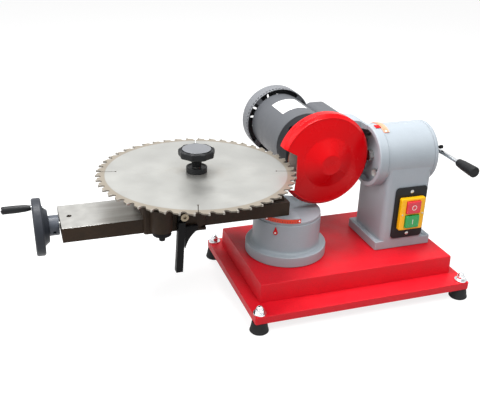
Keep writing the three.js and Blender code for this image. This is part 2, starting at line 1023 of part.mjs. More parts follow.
function crankGrip() {
  const start = -wheelHubLength - fitGap;
  const end = start - gripLength;
  const bore = crankPinRadius + fitGap;
  return turned("x", [
    [bore, start],
    [gripNeckRadius, start],
    [gripNeckRadius, start - gripRound],
    [gripEndRadius - gripRound / 2, start - gripLength / 5],
    [gripEndRadius, start - gripLength / 2],
    [gripEndRadius, end + gripRound],
    [gripEndRadius - gripRound, end],
    [bore, end],
  ], smallSteps).translate(0, 0, crankRadius);
}

// Carriage, with its origin on the blade's axis at the bar's underside

function carriageSaddle() {
  const halfWidth = barWidth / 2 + fitGap + saddleCheek;
  const length = saddleLeftX + saddleRightX;
  const body = slab({
    length,
    width: 2 * halfWidth,
    height: saddleTop,
    corner: saddleCorner,
    upperRound: saddleEdgeRound,
  }).translate(saddleRightX - length / 2, 0, 0);
  const barSpace = blockBetween(
    [-saddleLeftX - cutOverrun, saddleRightX + cutOverrun],
    [-barWidth / 2 - fitGap, barWidth / 2 + fitGap],
    [-cutOverrun, barHeight + fitGap],
  );
  const spindleBoss = rod("z", spindleBossRadius, barHeight + fitGap, spindleBossTop, middleSteps);
  const clampBoss = rod("z", clampBossRadius, 0, clampBossTop, middleSteps)
    .translate(-clampBossX, -clampBossY, 0);
  const boltHole = rod("z", bossBoltRadius + fitGap, -cutOverrun, bossBoltDepth + fitGap)
    .translate(-clampBossX, -clampBossY, 0);
  const stopHoleEnd = fitGap + stopScrewBite - halfWidth;
  const stopHole = rod("y", stopScrewShank + fitGap, -halfWidth - cutOverrun, stopHoleEnd)
    .translate(stopPivotX, 0, stopPivotHeight);
  const arborHole = rod("z", arborStudRadius + fitGap, spindleBossTop - arborFlangeStep, bladeRise);
  return cut(joined(cut(joined(body, clampBoss), barSpace), spindleBoss), boltHole, stopHole, arborHole);
}

function leadScrewNut() {
  const width = barWidth + 2 * saddleCheek;
  const keeper = slab({
    length: keeperLength,
    width,
    height: keeperThickness,
    corner: barEdge,
  }).translate(keeperEndX - keeperLength / 2, 0, -fitGap - keeperThickness);
  const nut = blockBetween(
    [-nutEndX - nutLength, -nutEndX],
    [-channelWidth / 2 + 2 * fitGap, channelWidth / 2 - 2 * fitGap],
    [-fitGap - keeperThickness / 2, nutTop],
  );
  const bore = rod("x", screwRadius + fitGap, -nutEndX - nutLength - cutOverrun, -nutEndX + cutOverrun)
    .translate(0, 0, screwHeight);
  return cut(joined(keeper, nut), bore);
}

function bossBolt() {
  return turned("z", [
    [0, -fitGap - bossBoltWasherThickness - bossBoltTail],
    [bossBoltRadius, -fitGap - bossBoltWasherThickness - bossBoltTail],
    [bossBoltRadius, -fitGap - bossBoltWasherThickness],
    [bossBoltWasherRadius, -fitGap - bossBoltWasherThickness],
    [bossBoltWasherRadius, -fitGap],
    [bossBoltRadius, -fitGap],
    [bossBoltRadius, bossBoltDepth],
    [0, bossBoltDepth],
  ], smallSteps).translate(-clampBossX, -clampBossY, 0);
}

function bladeArbor() {
  const flangeTop = bladeRise - bladeThickness / 2 - fitGap;
  const pilotTop = bladeRise + arborPilotRise;
  return turned("z", [
    [0, spindleBossTop - arborFlangeStep + fitGap],
    [arborStudRadius, spindleBossTop - arborFlangeStep + fitGap],
    [arborStudRadius, spindleBossTop + fitGap],
    [arborFlangeRadius, spindleBossTop + fitGap],
    [arborFlangeRadius, flangeTop],
    [bladeBore - fitGap, flangeTop],
    [bladeBore - fitGap, pilotTop],
    [arborStudRadius, pilotTop],
    [arborStudRadius, bladeRise + arborStudReach],
    [0, bladeRise + arborStudReach],
  ], middleSteps);
}

// The blade's outline, tooth by tooth: the tip, the straight face, the round gullet and the
// sloping back that climbs to the next tip. Tooth faces look anticlockwise.
function bladeOutline() {
  const pitch = fullTurn / bladeTeeth;
  const bodyRadius = bladeRadius - tipStand;
  const point = (radius, angle) => [radius * Math.cos(angle), radius * Math.sin(angle)];
  const points = [];
  for (let tooth = 0; tooth < bladeTeeth; tooth += 1) {
    const angle = tooth * pitch;
    points.push(point(bodyRadius, angle), point(bodyRadius - toothFaceDepth, angle));
    for (const [alongShare, depthShare] of gulletShares) {
      points.push(point(bodyRadius - gulletDepth * depthShare, angle + pitch * alongShare));
    }
    points.push(point(bodyRadius - gulletDepth * toothHeelDropShare, angle + pitch * toothHeelShare));
  }
  return shapeOf(points);
}

function carbideTip(tooth) {
  return blockBetween(
    [bladeRadius - tipLength, bladeRadius],
    [-tipWidth, tipProud],
    [-tipThickness / 2, tipThickness / 2],
  ).rotateZ((fullTurn * tooth) / bladeTeeth);
}

// A relief slot that opens into a gullet and ends in a round hole.
function reliefSlot(place) {
  const innerRadius = bladeRadius - gulletDepth - reliefSlotLength;
  const slit = blockBetween(
    [innerRadius, bladeRadius - gulletDepth + cutOverrun / 2],
    [-reliefSlotWidth / 2, reliefSlotWidth / 2],
    [-bladeThickness, bladeThickness],
  );
  const hole = rod("z", reliefHoleRadius, -bladeThickness, bladeThickness, tinySteps)
    .translate(innerRadius, 0, 0);
  const gulletMiddle = gulletShares[1][0];
  const teethBetween = bladeTeeth / reliefSlots;
  const turn = Math.round(reliefSlotTooth + place * teethBetween) + gulletMiddle;
  return joined(slit, hole).rotateZ((fullTurn * turn) / bladeTeeth);
}

function sawBlade() {
  const plate = extruded(bladeOutline(), "z", -bladeThickness / 2, bladeThickness / 2);
  const tips = [];
  for (let tooth = 0; tooth < bladeTeeth; tooth += 1) {
    tips.push(carbideTip(tooth));
  }
  const slots = [];
  for (let place = 0; place < reliefSlots; place += 1) {
    slots.push(reliefSlot(place));
  }
  const bore = rod("z", bladeBore, -bladeThickness, bladeThickness, middleSteps);
  return cut(joined(plate, ...tips), bore, ...slots).rotateZ(-radians(bladeRestTurn));
}

function clampCollar() {
  const bottom = bladeThickness / 2 + fitGap;
  return turned("z", [
    [arborStudRadius + fitGap, bottom],
    [washerRadius, bottom],
    [washerRadius, bottom + washerThickness],
    [arborStudRadius + fitGap, bottom + washerThickness],
  ], middleSteps);
}

function lobedOutline(radius, lobeDepth) {
  const points = [];
  const steps = knobLobes * 6;
  for (let i = 0; i < steps; i += 1) {
    const angle = (fullTurn * i) / steps;
    const reach = radius - (lobeDepth * (1 - Math.cos(knobLobes * angle))) / 2;
    points.push(new THREE.Vector2(reach * Math.cos(angle), reach * Math.sin(angle)));
  }
  return points;
}

function clampKnob() {
  const bottom = bladeThickness / 2 + washerThickness + 2 * fitGap;
  const capBottom = bottom + knobNeckLength;
  const cap = loft(edgeLevels(knobThickness, knobEdgeRound, knobEdgeRound, 0).map(([at, inset]) => ({
    at: capBottom + at,
    outline: lobedOutline(knobRadius - inset, knobLobeDepth),
  })));
  const neck = turned("z", [
    [0, bottom],
    [knobNeckLowerRadius, bottom],
    [knobNeckUpperRadius, capBottom + knobThickness / 2],
    [0, capBottom + knobThickness / 2],
  ], smallSteps);
  const capTop = capBottom + knobThickness;
  const disc = turned("z", [
    [0, capTop - knobThickness / 2],
    [knobDiscRadius, capTop - knobThickness / 2],
    [knobDiscRadius, capTop],
    [knobDiscRadius - knobDiscRise, capTop + knobDiscRise],
    [0, capTop + knobDiscRise],
  ], middleSteps);
  const bore = rod("z", arborStudRadius + fitGap, 0, arborStudReach + fitGap);
  return cut(joined(cap, neck, disc), bore);
}

// Tooth stop, in front of the saddle's front cheek

const saddleFrontY = -(barWidth / 2 + fitGap + saddleCheek);

function stopScrew() {
  const seat = saddleFrontY - 2 * fitGap - stopArmThickness;
  const screw = turned("y", [
    [0, saddleFrontY + stopScrewBite],
    [stopScrewShank, saddleFrontY + stopScrewBite],
    [stopScrewShank, seat],
    [stopScrewRadius, seat],
    [stopScrewRadius, seat - stopScrewHead],
    [0, seat - stopScrewHead],
  ], smallSteps);
  const socket = extruded(
    hexagonShape(2 * stopScrewSocket),
    "y",
    seat - stopScrewHead - cutOverrun,
    seat - stopScrewHead / 2,
  );
  return cut(screw, socket).translate(stopPivotX, 0, stopPivotHeight);
}

// The square bar hangs from an eye round the screw, from which a short arm points up.
function stopBar() {
  const back = saddleFrontY - fitGap;
  const front = back - stopArmThickness;
  const barTop = stopPivotHeight - stopBarTopDrop;
  const barBottom = barTop - stopBarLength;
  const lean = stopBarBottomX - stopBarTopX;
  const bar = extruded(shapeOf([
    [stopBarBottomX - stopBarWidth / 2, barBottom],
    [stopBarBottomX + stopBarWidth / 2, barBottom],
    [stopBarTopX + stopBarWidth / 2, barTop],
    [stopBarTopX - stopBarWidth / 2, barTop],
  ]), "y", back - stopBarWidth, back);
  const neck = extruded(shapeOf([
    [stopBarTopX - stopBarWidth / 2 + lean / 4, barTop - stopEyeRadius],
    [stopBarTopX + stopBarWidth / 2 + lean / 4, barTop - stopEyeRadius],
    [stopPivotX + stopEyeRadius, stopPivotHeight],
    [stopPivotX - stopEyeRadius, stopPivotHeight],
  ]), "y", front, back);
  const eye = rod("y", stopEyeRadius, front, back).translate(stopPivotX, 0, stopPivotHeight);
  const arm = blockBetween([0, stopArmReach], [front, back], [-stopArmWidth / 2, stopArmWidth / 2])
    .rotateY(-radians(stopArmAngle))
    .translate(stopPivotX, 0, stopPivotHeight);
  const hole = rod("y", stopScrewShank + fitGap, front - cutOverrun, back + cutOverrun)
    .translate(stopPivotX, 0, stopPivotHeight);
  return cut(joined(bar, neck, eye, arm), hole);
}

// A curved plate with a hollow lower edge, and the ribbed stud above it, both on the bar's right.
function stopPlate() {
  const left = stopBarBottomX + stopBarWidth / 2 + (stopBarTopX - stopBarBottomX) + fitGap;
  const shape = new THREE.Shape();
  shape.moveTo(left, stopPivotHeight - stopPlateToeDrop);
  shape.lineTo(stopPlateToeX, stopPivotHeight - stopPlateToeDrop);
  shape.quadraticCurveTo(
    stopPlateCurveX,
    stopPivotHeight - stopPlateCurveDrop,
    stopPlateTipX,
    stopPivotHeight - stopPlateTipDrop,
  );
  shape.lineTo(stopPlateTipX - stopStudRadius, stopPivotHeight - stopPlateTopDrop);
  shape.lineTo(left, stopPivotHeight - stopPlateTopDrop);
  shape.closePath();
  const back = saddleFrontY - fitGap;
  const plate = extruded(shape, "y", back - stopPlateThickness, back);
  const profile = [[0, left], [stopStudRadius, left]];
  const ribPitch = stopStudLength / stopStudRibs;
  for (let rib = 0; rib < stopStudRibs; rib += 1) {
    const start = left + (rib + 1 / 2) * ribPitch;
    profile.push([stopStudRadius, start], [stopStudRibRadius, start]);
    profile.push([stopStudRibRadius, start + ribPitch / 2]);
    profile.push([stopStudRadius, start + ribPitch / 2]);
  }
  profile.push([stopStudRadius, left + stopStudLength + ribPitch], [0, left + stopStudLength + ribPitch]);
  const stud = turned("x", profile, tinySteps)
    .translate(0, back - stopStudRibRadius, stopPivotHeight - stopStudDrop);
  return joined(plate, stud);
}

function carriageGroup() {
  return groupAt(
    swivelToBladeX,
    0,
    0,
    piece("carriage_saddle", carriageSaddle(), finishes.brownIron),
    piece("lead_screw_nut", leadScrewNut(), finishes.brownIron),
    piece("boss_bolt", bossBolt(), finishes.brownIron),
    piece("blade_arbor", bladeArbor(), finishes.steel),
    groupAt(
      0,
      0,
      bladeRise,
      piece("saw_blade", sawBlade(), finishes.bladeSteel),
      piece("clamp_collar", clampCollar(), finishes.blackPlastic),
      piece("clamp_knob", clampKnob(), finishes.blackPlastic),
    ),
    piece("finger_screw", stopScrew(), finishes.chrome),
    piece("finger_bar", stopBar(), finishes.blackPlastic),
    piece("finger_plate", stopPlate(), finishes.blackPlastic),
  );
}

function armGroup() {
  const [frontBoltY, rearBoltY] = clampBoltPlaces();
  return groupAt(
    0,
    0,
    seatHeight + fitGap,
    piece("arm_bar", armBar(), finishes.brownIron),
    piece("arm_clamp_plate", clampPlate(), finishes.brownIron),
    groupAt(clampPlateX, frontBoltY, 0, piece("arm_clamp_bolt_front", clampBolt(), finishes.steel)),
    groupAt(clampPlateX, rearBoltY, 0, piece("arm_clamp_bolt_rear", clampBolt(), finishes.steel)),
    piece("lead_screw", leadScrew(), finishes.steel),
    groupAt(
      handwheelX,
      0,
      screwHeight,
      piece("handwheel", handwheel(), finishes.wheelPlastic),
      piece("handwheel_collar", handwheelCollar(), finishes.castGrey),
      piece("crank_pin", crankPin(), finishes.chrome),
      piece("crank_grip", crankGrip(), finishes.blackPlastic),
    ),
    carriageGroup(),
  );
}

function pedestalGroup() {
  return groupAt(
    swivelAxisX,
    machineAxisY,
    boxTop + fitGap,
    piece("swivel_base", swivelBase(), finishes.castGrey),
    swivelPointer(),
    groupAt(
      0,
      0,
      drumHeight + fitGap,
      piece("swivel_table", swivelTable(), finishes.castGrey),
      piece("swivel_scale", swivelScale(), finishes.scaleOrange),
      armGroup(),
    ),
  );
}

// Column and head, with their origin on the head's axis above the middle of the base plate

const footBottom = boxTop + fitGap - headAxisHeight;

function headColumn() {
  const footLength = columnFootRightX - columnFootLeftX;
  const base = slab({
    length: footLength,
    width: 2 * columnFrontReach,
    height: columnFootThickness,
    corner: columnFootCorner,
    upperRound: columnFootEdgeRound,
  }).translate(columnFootLeftX + footLength / 2, 0, footBottom);
  const uprightLength = columnRightX - columnLeftX;
  const uprightDepth = columnFrontReach + columnBackReach;
  const upright = slab({
    length: uprightLength,
    width: uprightDepth,
    height: -footBottom,
    corner: columnCorner,
  }).translate(columnLeftX + uprightLength / 2, (columnBackReach - columnFrontReach) / 2, footBottom);
  const housing = turned("x", [
    [0, housingStartX],
    [housingCollarRadius, housingStartX],
    [housingCollarRadius, housingStartX + housingCollarLength],
    [housingRadius, housingStartX + housingCollarLength + housingCollarRadius - housingRadius],
    [housingRadius, housingEndX],
    [0, housingEndX],
  ]);
  const cavity = slab({
    length: uprightLength - 2 * columnWall,
    width: uprightDepth - 2 * columnWall,
    height: -footBottom - columnCavityTop + cutOverrun,
    corner: columnCorner - columnWall / 2,
  }).translate(
    columnLeftX + uprightLength / 2,
    (columnBackReach - columnFrontReach) / 2,
    footBottom - cutOverrun,
  );
  const boreStart = housingStartX - cutOverrun;
  const bore = rod("x", shaftRadius + fitGap, boreStart, housingEndX + cutOverrun, middleSteps);
  const pocket = rod("x", flangeRadius + 2 * fitGap, boreStart, housingStartX + flangePocketDepth);
  const glandStart = columnBackReach - columnWall - cutOverrun;
  const glandHole = rod("y", glandRadius + fitGap, glandStart, columnBackReach + cutOverrun)
    .translate((columnLeftX + columnRightX) / 2, 0, footBottom + glandHeight);
  return cut(joined(base, upright, housing), cavity, bore, pocket, glandHole);
}

// The end cap closes the housing and carries the lug and the pin on which the lever turns.
function headEndCap() {
  const start = housingEndX + fitGap;
  const end = start + endCapThickness;
  const cap = turned("x", [
    [shaftTailRadius + fitGap, start],
    [housingRadius, start],
    ...quarterRound([housingRadius - endCapRound, end - endCapRound], endCapRound, 0),
    [shaftTailRadius + fitGap, end],
  ]);
  const lugTop = leverCentreHeight - leverBossThickness / 2 - fitGap;
  const lug = blockBetween(
    [end - endCapThickness / 2, leverPivotX + leverBossWidth / 2],
    [-leverArm - lugSide, -shaftTailRadius - 2 * fitGap],
    [lugTop - lugDepth, lugTop],
  );
  const pinTop = leverCentreHeight + leverBossThickness / 2 + leverPinHead;
  const pin = rod("z", leverPinRadius, lugTop - lugDepth / 2, pinTop)
    .translate(leverPivotX, -leverArm, 0);
  const stopHole = rod("x", feedStopRadius + fitGap, end - feedStopBite, end + cutOverrun, tinySteps)
    .translate(0, -feedStopY, feedStopHeight);
  return cut(joined(cap, lug, pin), stopHole);
}

function feedStopScrew() {
  const face = housingEndX + fitGap + endCapThickness;
  return turned("x", [
    [0, face - feedStopBite + fitGap],
    [feedStopRadius, face - feedStopBite + fitGap],
    [feedStopRadius, face + feedStopLength - feedStopHeadLength],
    [feedStopHeadRadius, face + feedStopLength - feedStopHeadLength],
    [feedStopHeadRadius, face + feedStopLength],
    [0, face + feedStopLength],
  ], tinySteps).translate(0, -feedStopY, feedStopHeight);
}

function headScale() {
  const inner = housingCollarRadius + fitGap;
  const strip = sectorShape(inner, inner + scaleThickness, headScaleStart, headScaleEnd);
  return extruded(strip, "x", housingStartX, housingStartX + headScaleLength);
}

function cableGland() {
  const wallInside = columnBackReach - columnWall;
  const outside = columnBackReach + fitGap;
  return turned("y", [
    [glandBore, wallInside],
    [glandRadius, wallInside],
    [glandRadius, outside],
    [glandNutRadius, outside],
    [glandNutRadius, outside + glandNutLength],
    [glandRadius, outside + glandNutLength],
    [glandRadius - glandBore / 2, outside + glandLength],
    [glandBore, outside + glandLength],
  ], smallSteps).translate((columnLeftX + columnRightX) / 2, 0, footBottom + glandHeight);
}

// Switch, whose heights are given from the plate's underside as the column's front face shows them

const switchFace = -columnFrontReach - fitGap;

function switchPlate() {
  return alongAxis(slab({
    length: switchPlateWidth,
    width: switchPlateHeight,
    height: switchPlateThickness,
    corner: switchPlateCorner,
    upperRound: switchFrameEdge / 2,
  }), "y").translate(switchX, switchFace, switchPlateCentre - headAxisHeight);
}

const buttonPlaces = {
  stop_button: buttonSpacing / 2,
  start_button: -buttonSpacing / 2,
};

function switchFrame() {
  const back = switchFace - switchPlateThickness - fitGap;
  const frame = alongAxis(slab({
    length: switchFrameWidth,
    width: switchFrameHeight,
    height: switchFrameThickness,
    corner: switchFrameCorner,
    upperRound: switchFrameEdge,
  }), "y");
  const windows = Object.values(buttonPlaces).map((rise) => blockBetween(
    [-buttonWidth / 2 - buttonGap, buttonWidth / 2 + buttonGap],
    [-switchFrameThickness - cutOverrun, cutOverrun],
    [rise - buttonHeight / 2 - buttonGap, rise + buttonHeight / 2 + buttonGap],
  ));
  return cut(frame, ...windows).translate(switchFrameX, back, switchFrameCentre - headAxisHeight);
}

function switchButton(rise) {
  const plateFace = switchFace - switchPlateThickness;
  const back = plateFace - fitGap - buttonTravel;
  const front = plateFace - fitGap - switchFrameThickness - buttonProud;
  return alongAxis(slab({
    length: buttonWidth,
    width: buttonHeight,
    height: back - front,
    corner: buttonCorner,
    upperRound: buttonEdge,
  }), "y").translate(switchFrameX, back, switchFrameCentre - headAxisHeight + rise);
}

function columnGroup() {
  return groupAt(
    0,
    0,
    0,
    piece("head_column", headColumn(), finishes.castGrey),
    piece("head_end_cap", headEndCap(), finishes.castGrey),
    piece("feed_stop_screw", feedStopScrew(), finishes.blackPlastic),
    piece("head_scale", headScale(), finishes.scaleOrange),
    piece("cable_gland", cableGland(), finishes.blackPlastic),
    piece("switch_plate", switchPlate(), finishes.blackPlastic),
    piece("switch_frame", switchFrame(), finishes.yellow),
    piece("stop_button", switchButton(buttonPlaces.stop_button), finishes.stopRed),
    piece("start_button", switchButton(buttonPlaces.start_button), finishes.startGreen),
  );
}

// Feed shaft. Its flange turns the head's tilt, and its drive pin stands in the lever's slot.

const cupBackX = housingStartX - fitGap;
const drivePinX = leverPivotX - leverArm * Math.tan(radians(leverRestAngle));

function feedShaft() {
  const flangeFace = cupBackX + fitGap;
  const tailEnd = drivePinX + 2 * leverPinRadius;
  const body = turned("x", [
    [0, flangeFace],
    [flangeRadius, flangeFace],
    [flangeRadius, flangeFace + flangeThickness],
    [shaftRadius, flangeFace + flangeThickness],
    [shaftRadius, housingEndX - fitGap],
    [shaftTailRadius, housingEndX - fitGap],
    [shaftTailRadius, tailEnd],
    [0, tailEnd],
  ], middleSteps);
  const flatHeight = leverCentreHeight - leverBossThickness / 2 - fitGap;
  const flat = blockBetween(
    [housingEndX + endCapThickness + 2 * fitGap, tailEnd + cutOverrun],
    [-shaftTailRadius - cutOverrun, shaftTailRadius + cutOverrun],
    [flatHeight, shaftTailRadius + cutOverrun],
  );
  const pin = rod("z", leverPinRadius, 0, leverCentreHeight + leverBossThickness / 2 + leverPinHead)
    .translate(drivePinX, 0, 0);
  const tiltHoleEnd = flangeFace + flangeThickness / 2 + fitGap;
  const boltHoles = tiltBoltPlaces().map(([y, z]) => (
    rod("x", tiltBoltRadius + fitGap, flangeFace - cutOverrun, tiltHoleEnd, tinySteps)
      .translate(0, y, z)
  ));
  const pivotHole = rod(
    "x",
    pivotBoltRadius + fitGap,
    flangeFace - cutOverrun,
    flangeFace + flangeThickness + fitGap,
  );
  return cut(joined(cut(body, flat), pin), ...boltHoles, pivotHole);
}

function tiltBoltPlaces() {
  return [0, Math.PI].map((turn) => {
    const angle = radians(tiltBoltAngle) + turn;
    return [tiltBoltPitchRadius * Math.cos(angle), tiltBoltPitchRadius * Math.sin(angle)];
  });
}

const cupFloorX = cupBackX - cupFloor;

function boltAlongX(acrossFlats, headLength, shankRadius, tip) {
  const seat = cupFloorX - fitGap;
  return joined(
    extruded(hexagonShape(acrossFlats), "x", seat - headLength, seat),
    rod("x", shankRadius, seat - headLength / 2, tip, tinySteps),
  );
}

function feedGroup() {
  const boltTip = cupBackX + fitGap + flangeThickness / 2;
  const names = ["tilt_bolt_upper", "tilt_bolt_lower"];
  const bolts = tiltBoltPlaces().map(([y, z], place) => {
    const bolt = boltAlongX(tiltBoltAcrossFlats, tiltBoltHead, tiltBoltRadius, boltTip);
    return groupAt(0, y, z, piece(names[place], bolt, finishes.steel));
  });
  const pivotEnd = cupBackX + flangeThickness;
  const pivotBolt = boltAlongX(pivotBoltAcrossFlats, pivotBoltHead, pivotBoltRadius, pivotEnd);
  return groupAt(
    0,
    0,
    0,
    piece("feed_shaft", feedShaft(), finishes.steel),
    piece("pivot_bolt", pivotBolt, finishes.steel),
    ...bolts,
  );
}

// Feed lever, with its origin on its pivot pin at the head axis' height

function feedLever() {
  const bossTop = leverCentreHeight + leverBossThickness / 2;
  const bossBottom = leverCentreHeight - leverBossThickness / 2;
  const boss = extruded(new THREE.Shape(roundedRectangle(
    leverBossWidth,
    leverBossWidth + leverArm,
    leverBossWidth / 2 - leastCorner,
  )), "z", bossBottom, bossTop).translate(0, leverArm / 2, 0);
  const shank = rod("y", leverRodRadius, -leverRodReach, -leverBossWidth / 4, smallSteps)
    .translate(0, 0, leverCentreHeight);
  const pinHole = rod("z", leverPinRadius + fitGap, bossBottom - cutOverrun, bossTop + cutOverrun);
  const slotCentre = leverArm / Math.cos(radians(leverRestAngle));
  const slotHalf = leverPinRadius + fitGap;
  const slot = extruded(new THREE.Shape(roundedRectangle(
    2 * slotHalf,
    2 * (slotHalf + leverSlotPlay),
    slotHalf - leastCorner,
  )), "z", bossBottom - cutOverrun, bossTop + cutOverrun).translate(0, slotCentre, 0);
  return cut(joined(boss, shank), pinHole, slot);
}

function leverGrip() {
  const start = -gripStart;
  const end = start - leverGripLength;
  const bore = leverRodRadius + fitGap;
  return turned("y", [
    [bore, start],
    [leverGripNeckRadius, start],
    [leverGripNeckRadius + leverGripRound, start - leverGripLength / 4],
    [leverGripEndRadius, end + leverGripRound],
    [leverGripEndRadius - leverGripRound, end],
    [0, end],
    [0, -leverRodReach - fitGap],
    [bore, -leverRodReach - fitGap],
  ], smallSteps).translate(0, 0, leverCentreHeight);
}

function leverGroup() {
  const group = groupAt(
    leverPivotX,
    -leverArm,
    0,
    piece("feed_lever", feedLever(), finishes.chrome),
    piece("lever_grip", leverGrip(), finishes.blackPlastic),
  );
  group.rotation.z = radians(leverRestAngle);
  return group;
}

// Head bracket: a cup that faces the motor, its floor slotted for the tilt bolts, and a web behind

function tiltSlot(place) {
  const play = tiltBoltRadius + tiltSlotPlay / 2;
  const spread = tiltRange + THREE.MathUtils.radToDeg(play / tiltBoltPitchRadius);
  const middle = tiltBoltAngle + (place * THREE.MathUtils.radToDeg(Math.PI));
  const half = tiltBoltRadius + fitGap;
  const shape = sectorShape(
    tiltBoltPitchRadius - half,
    tiltBoltPitchRadius + half,
    middle - spread,
    middle + spread,
  );
  return extruded(shape, "x", cupFloorX - cutOverrun, cupBackX + cutOverrun);
}

function headBracket() {
  const cup = turned("x", [
    [0, cupRimX],
    [cupRadius - cupEdgeRound, cupRimX],
    [cupRadius, cupRimX + cupEdgeRound],
    [cupRadius, cupBackX],
    [0, cupBackX],
  ]);
  const outline = new THREE.Shape();
  outline.moveTo(webInnerX, webBottomHeight + webRound);
  outline.lineTo(cupRimX - webRound, webBottomHeight);
  outline.lineTo(cupFloorX, webBottomHeight);
  outline.lineTo(cupFloorX, webTopHeight - webRound);
  outline.quadraticCurveTo(cupFloorX, webTopHeight, cupRimX - webRound, webTopHeight);
  outline.lineTo(webInnerX + webRound, webTopHeight + webRound / 4);
  outline.quadraticCurveTo(webInnerX, webTopHeight + webRound / 4, webInnerX, webTopHeight - webRound);
  outline.closePath();
  const web = extruded(outline, "y", webFrontY, webBackY);
  const hood = cut(
    extruded(outline, "y", hoodFrontY, webFrontY + fitGap),
    blockBetween(
      [webInnerX - cutOverrun, cupBackX + cutOverrun],
      [hoodFrontY - cutOverrun, webFrontY],
      [webBottomHeight - cutOverrun, hoodLowHeight],
    ),
    extruded(shapeOf([
      [webInnerX - cutOverrun, hoodFrontY - cutOverrun],
      [cupRimX - webRound / 4, hoodFrontY - cutOverrun],
      [cupRimX - webRound / 4, hoodFrontY + hoodStraight],
      [hoodSweepX, webFrontY],
      [webInnerX - cutOverrun, webFrontY],
    ]), "z", 0, webTopHeight + webRound),
  );
  const recess = rod("x", cupBoreRadius, webInnerX - cutOverrun, cupFloorX, roundSteps);
  const motorSpace = rod("y", motorRadius + fitGap, webFrontY - cutOverrun, webBackY + cutOverrun, roundSteps)
    .translate(motorX, 0, motorRise);
  const pivotHole = rod("x", pivotBoltRadius + fitGap, cupFloorX - cutOverrun, cupBackX + cutOverrun);
  return cut(joined(cup, web, hood), recess, motorSpace, pivotHole, tiltSlot(0), tiltSlot(1));
}

function headPointer() {
  const half = THREE.MathUtils.radToDeg(headPointerWidth / 2 / cupRadius);
  const inner = cupRadius + fitGap;
  const plate = sectorShape(
    inner,
    inner + headPointerThickness,
    headPointerAngle - half,
    headPointerAngle + half,
  );
  return extruded(plate, "x", cupBackX - headPointerWidth, cupBackX);
}

// Motor, with its origin on the rotor's axis at the ground tooth's face

function motorBell() {
  const end = bellStart + bellLength;
  const bore = rotorRadius + shaftBoreGap;
  const bell = turned("y", [
    [bore, bellStart],
    ...quarterRound([motorRadius - bellRound, bellStart + bellRound], bellRound, -quarterTurn),
    [motorRadius, end],
    [bore, end],
  ]);
  const hole = rod("x", bellHoleRadius, motorRadius - bellHoleDepth, motorRadius + cutOverrun, tinySteps)
    .rotateY(-radians(bellHoleAngle))
    .translate(0, bellHoleStation, 0);
  return cut(bell, hole);
}

function motorBody() {
  const start = bellStart + bellLength + fitGap;
  const end = start + bodyLength;
  const bore = rotorRadius + shaftBoreGap;
  const body = turned("y", [
    [bore, start],
    [motorRadius, start],
    [motorRadius, end - fanCoverLugLength],
    [bodyEndRadius, end],
    [bore, end],
  ]);
  const lugReach = fanCoverRadius - fanCoverWall - fitGap;
  const lugs = [];
  for (let i = 0; i < fanCoverLugs; i += 1) {
    lugs.push(blockBetween(
      [bodyEndRadius - fanCoverLugLength, lugReach],
      [fanCoverStart + fitGap, fanCoverStart + fitGap + fanCoverLugLength],
      [-fanCoverLugWidth / 2, fanCoverLugWidth / 2],
    ).rotateY((fullTurn * (i + 1 / 2)) / fanCoverLugs));
  }
  const roundReach = rod("y", lugReach, start, end + fanCoverLugLength, roundSteps);
  return joined(body, ...lugs.map((lug) => common(lug, roundReach)));
}

function fanCover() {
  const inner = fanCoverRadius - fanCoverWall;
  const innerEnd = fanCoverEnd - fanCoverWall;
  const innerRound = fanCoverRound - fanCoverWall;
  const shell = turned("y", [
    [fanCoverRadius, fanCoverStart],
    ...quarterRound([fanCoverRadius - fanCoverRound, fanCoverEnd - fanCoverRound], fanCoverRound, 0),
    [0, fanCoverEnd],
    [0, innerEnd],
    ...quarterRound([inner - innerRound, innerEnd - innerRound], innerRound, 0).reverse(),
    [inner, fanCoverStart],
  ]);
  const holes = [];
  for (let i = 0; i < ventHoles; i += 1) {
    holes.push(rod("x", ventHoleRadius, inner - cutOverrun, fanCoverRadius + cutOverrun, tinySteps)
      .translate(0, ventHoleStation, 0)
      .rotateY((fullTurn * i) / ventHoles));
  }
  for (let i = 0; i < backSlots; i += 1) {
    holes.push(blockBetween(
      [backSlotInner, backSlotOuter],
      [innerEnd - cutOverrun, fanCoverEnd + cutOverrun],
      [-backSlotWidth / 2, backSlotWidth / 2],
    ).rotateY((fullTurn * i) / backSlots));
  }
  return cut(shell, ...holes);
}

function terminalBox() {
  const depth = terminalTop - terminalBottom;
  const width = terminalRightX - terminalLeftX;
  const box = slab({
    length: width,
    width: depth,
    height: terminalLength,
    corner: terminalRound,
    lowerRound: terminalEdge,
    upperRound: terminalEdge,
  });
  const placed = alongAxis(box, "y").translate(
    terminalLeftX + width / 2 + motorX,
    terminalStart + terminalLength,
    (terminalTop + terminalBottom) / 2,
  );
  const body = rod("y", motorRadius + fitGap, 0, terminalStart + 2 * terminalLength, roundSteps);
  return cut(placed, body);
}

function rotorShaft() {
  const wheelBack = grindClearance + grindThickness + fitGap;
  const tail = bellStart + bellLength + bodyLength + fitGap + rotorTail;
  return turned("y", [
    [0, -nutFlangeThickness - wheelNutThickness],
    [rotorRadius, -nutFlangeThickness - wheelNutThickness],
    [rotorRadius, grindClearance - fitGap],
    [grindBore - fitGap, grindClearance - fitGap],
    [grindBore - fitGap, wheelBack],
    [rotorShoulderRadius, wheelBack],
    [rotorShoulderRadius, wheelBack + rotorShoulderLength],
    [rotorRadius, wheelBack + rotorShoulderLength],
    [rotorRadius, tail],
    [0, tail],
  ], smallSteps);
}

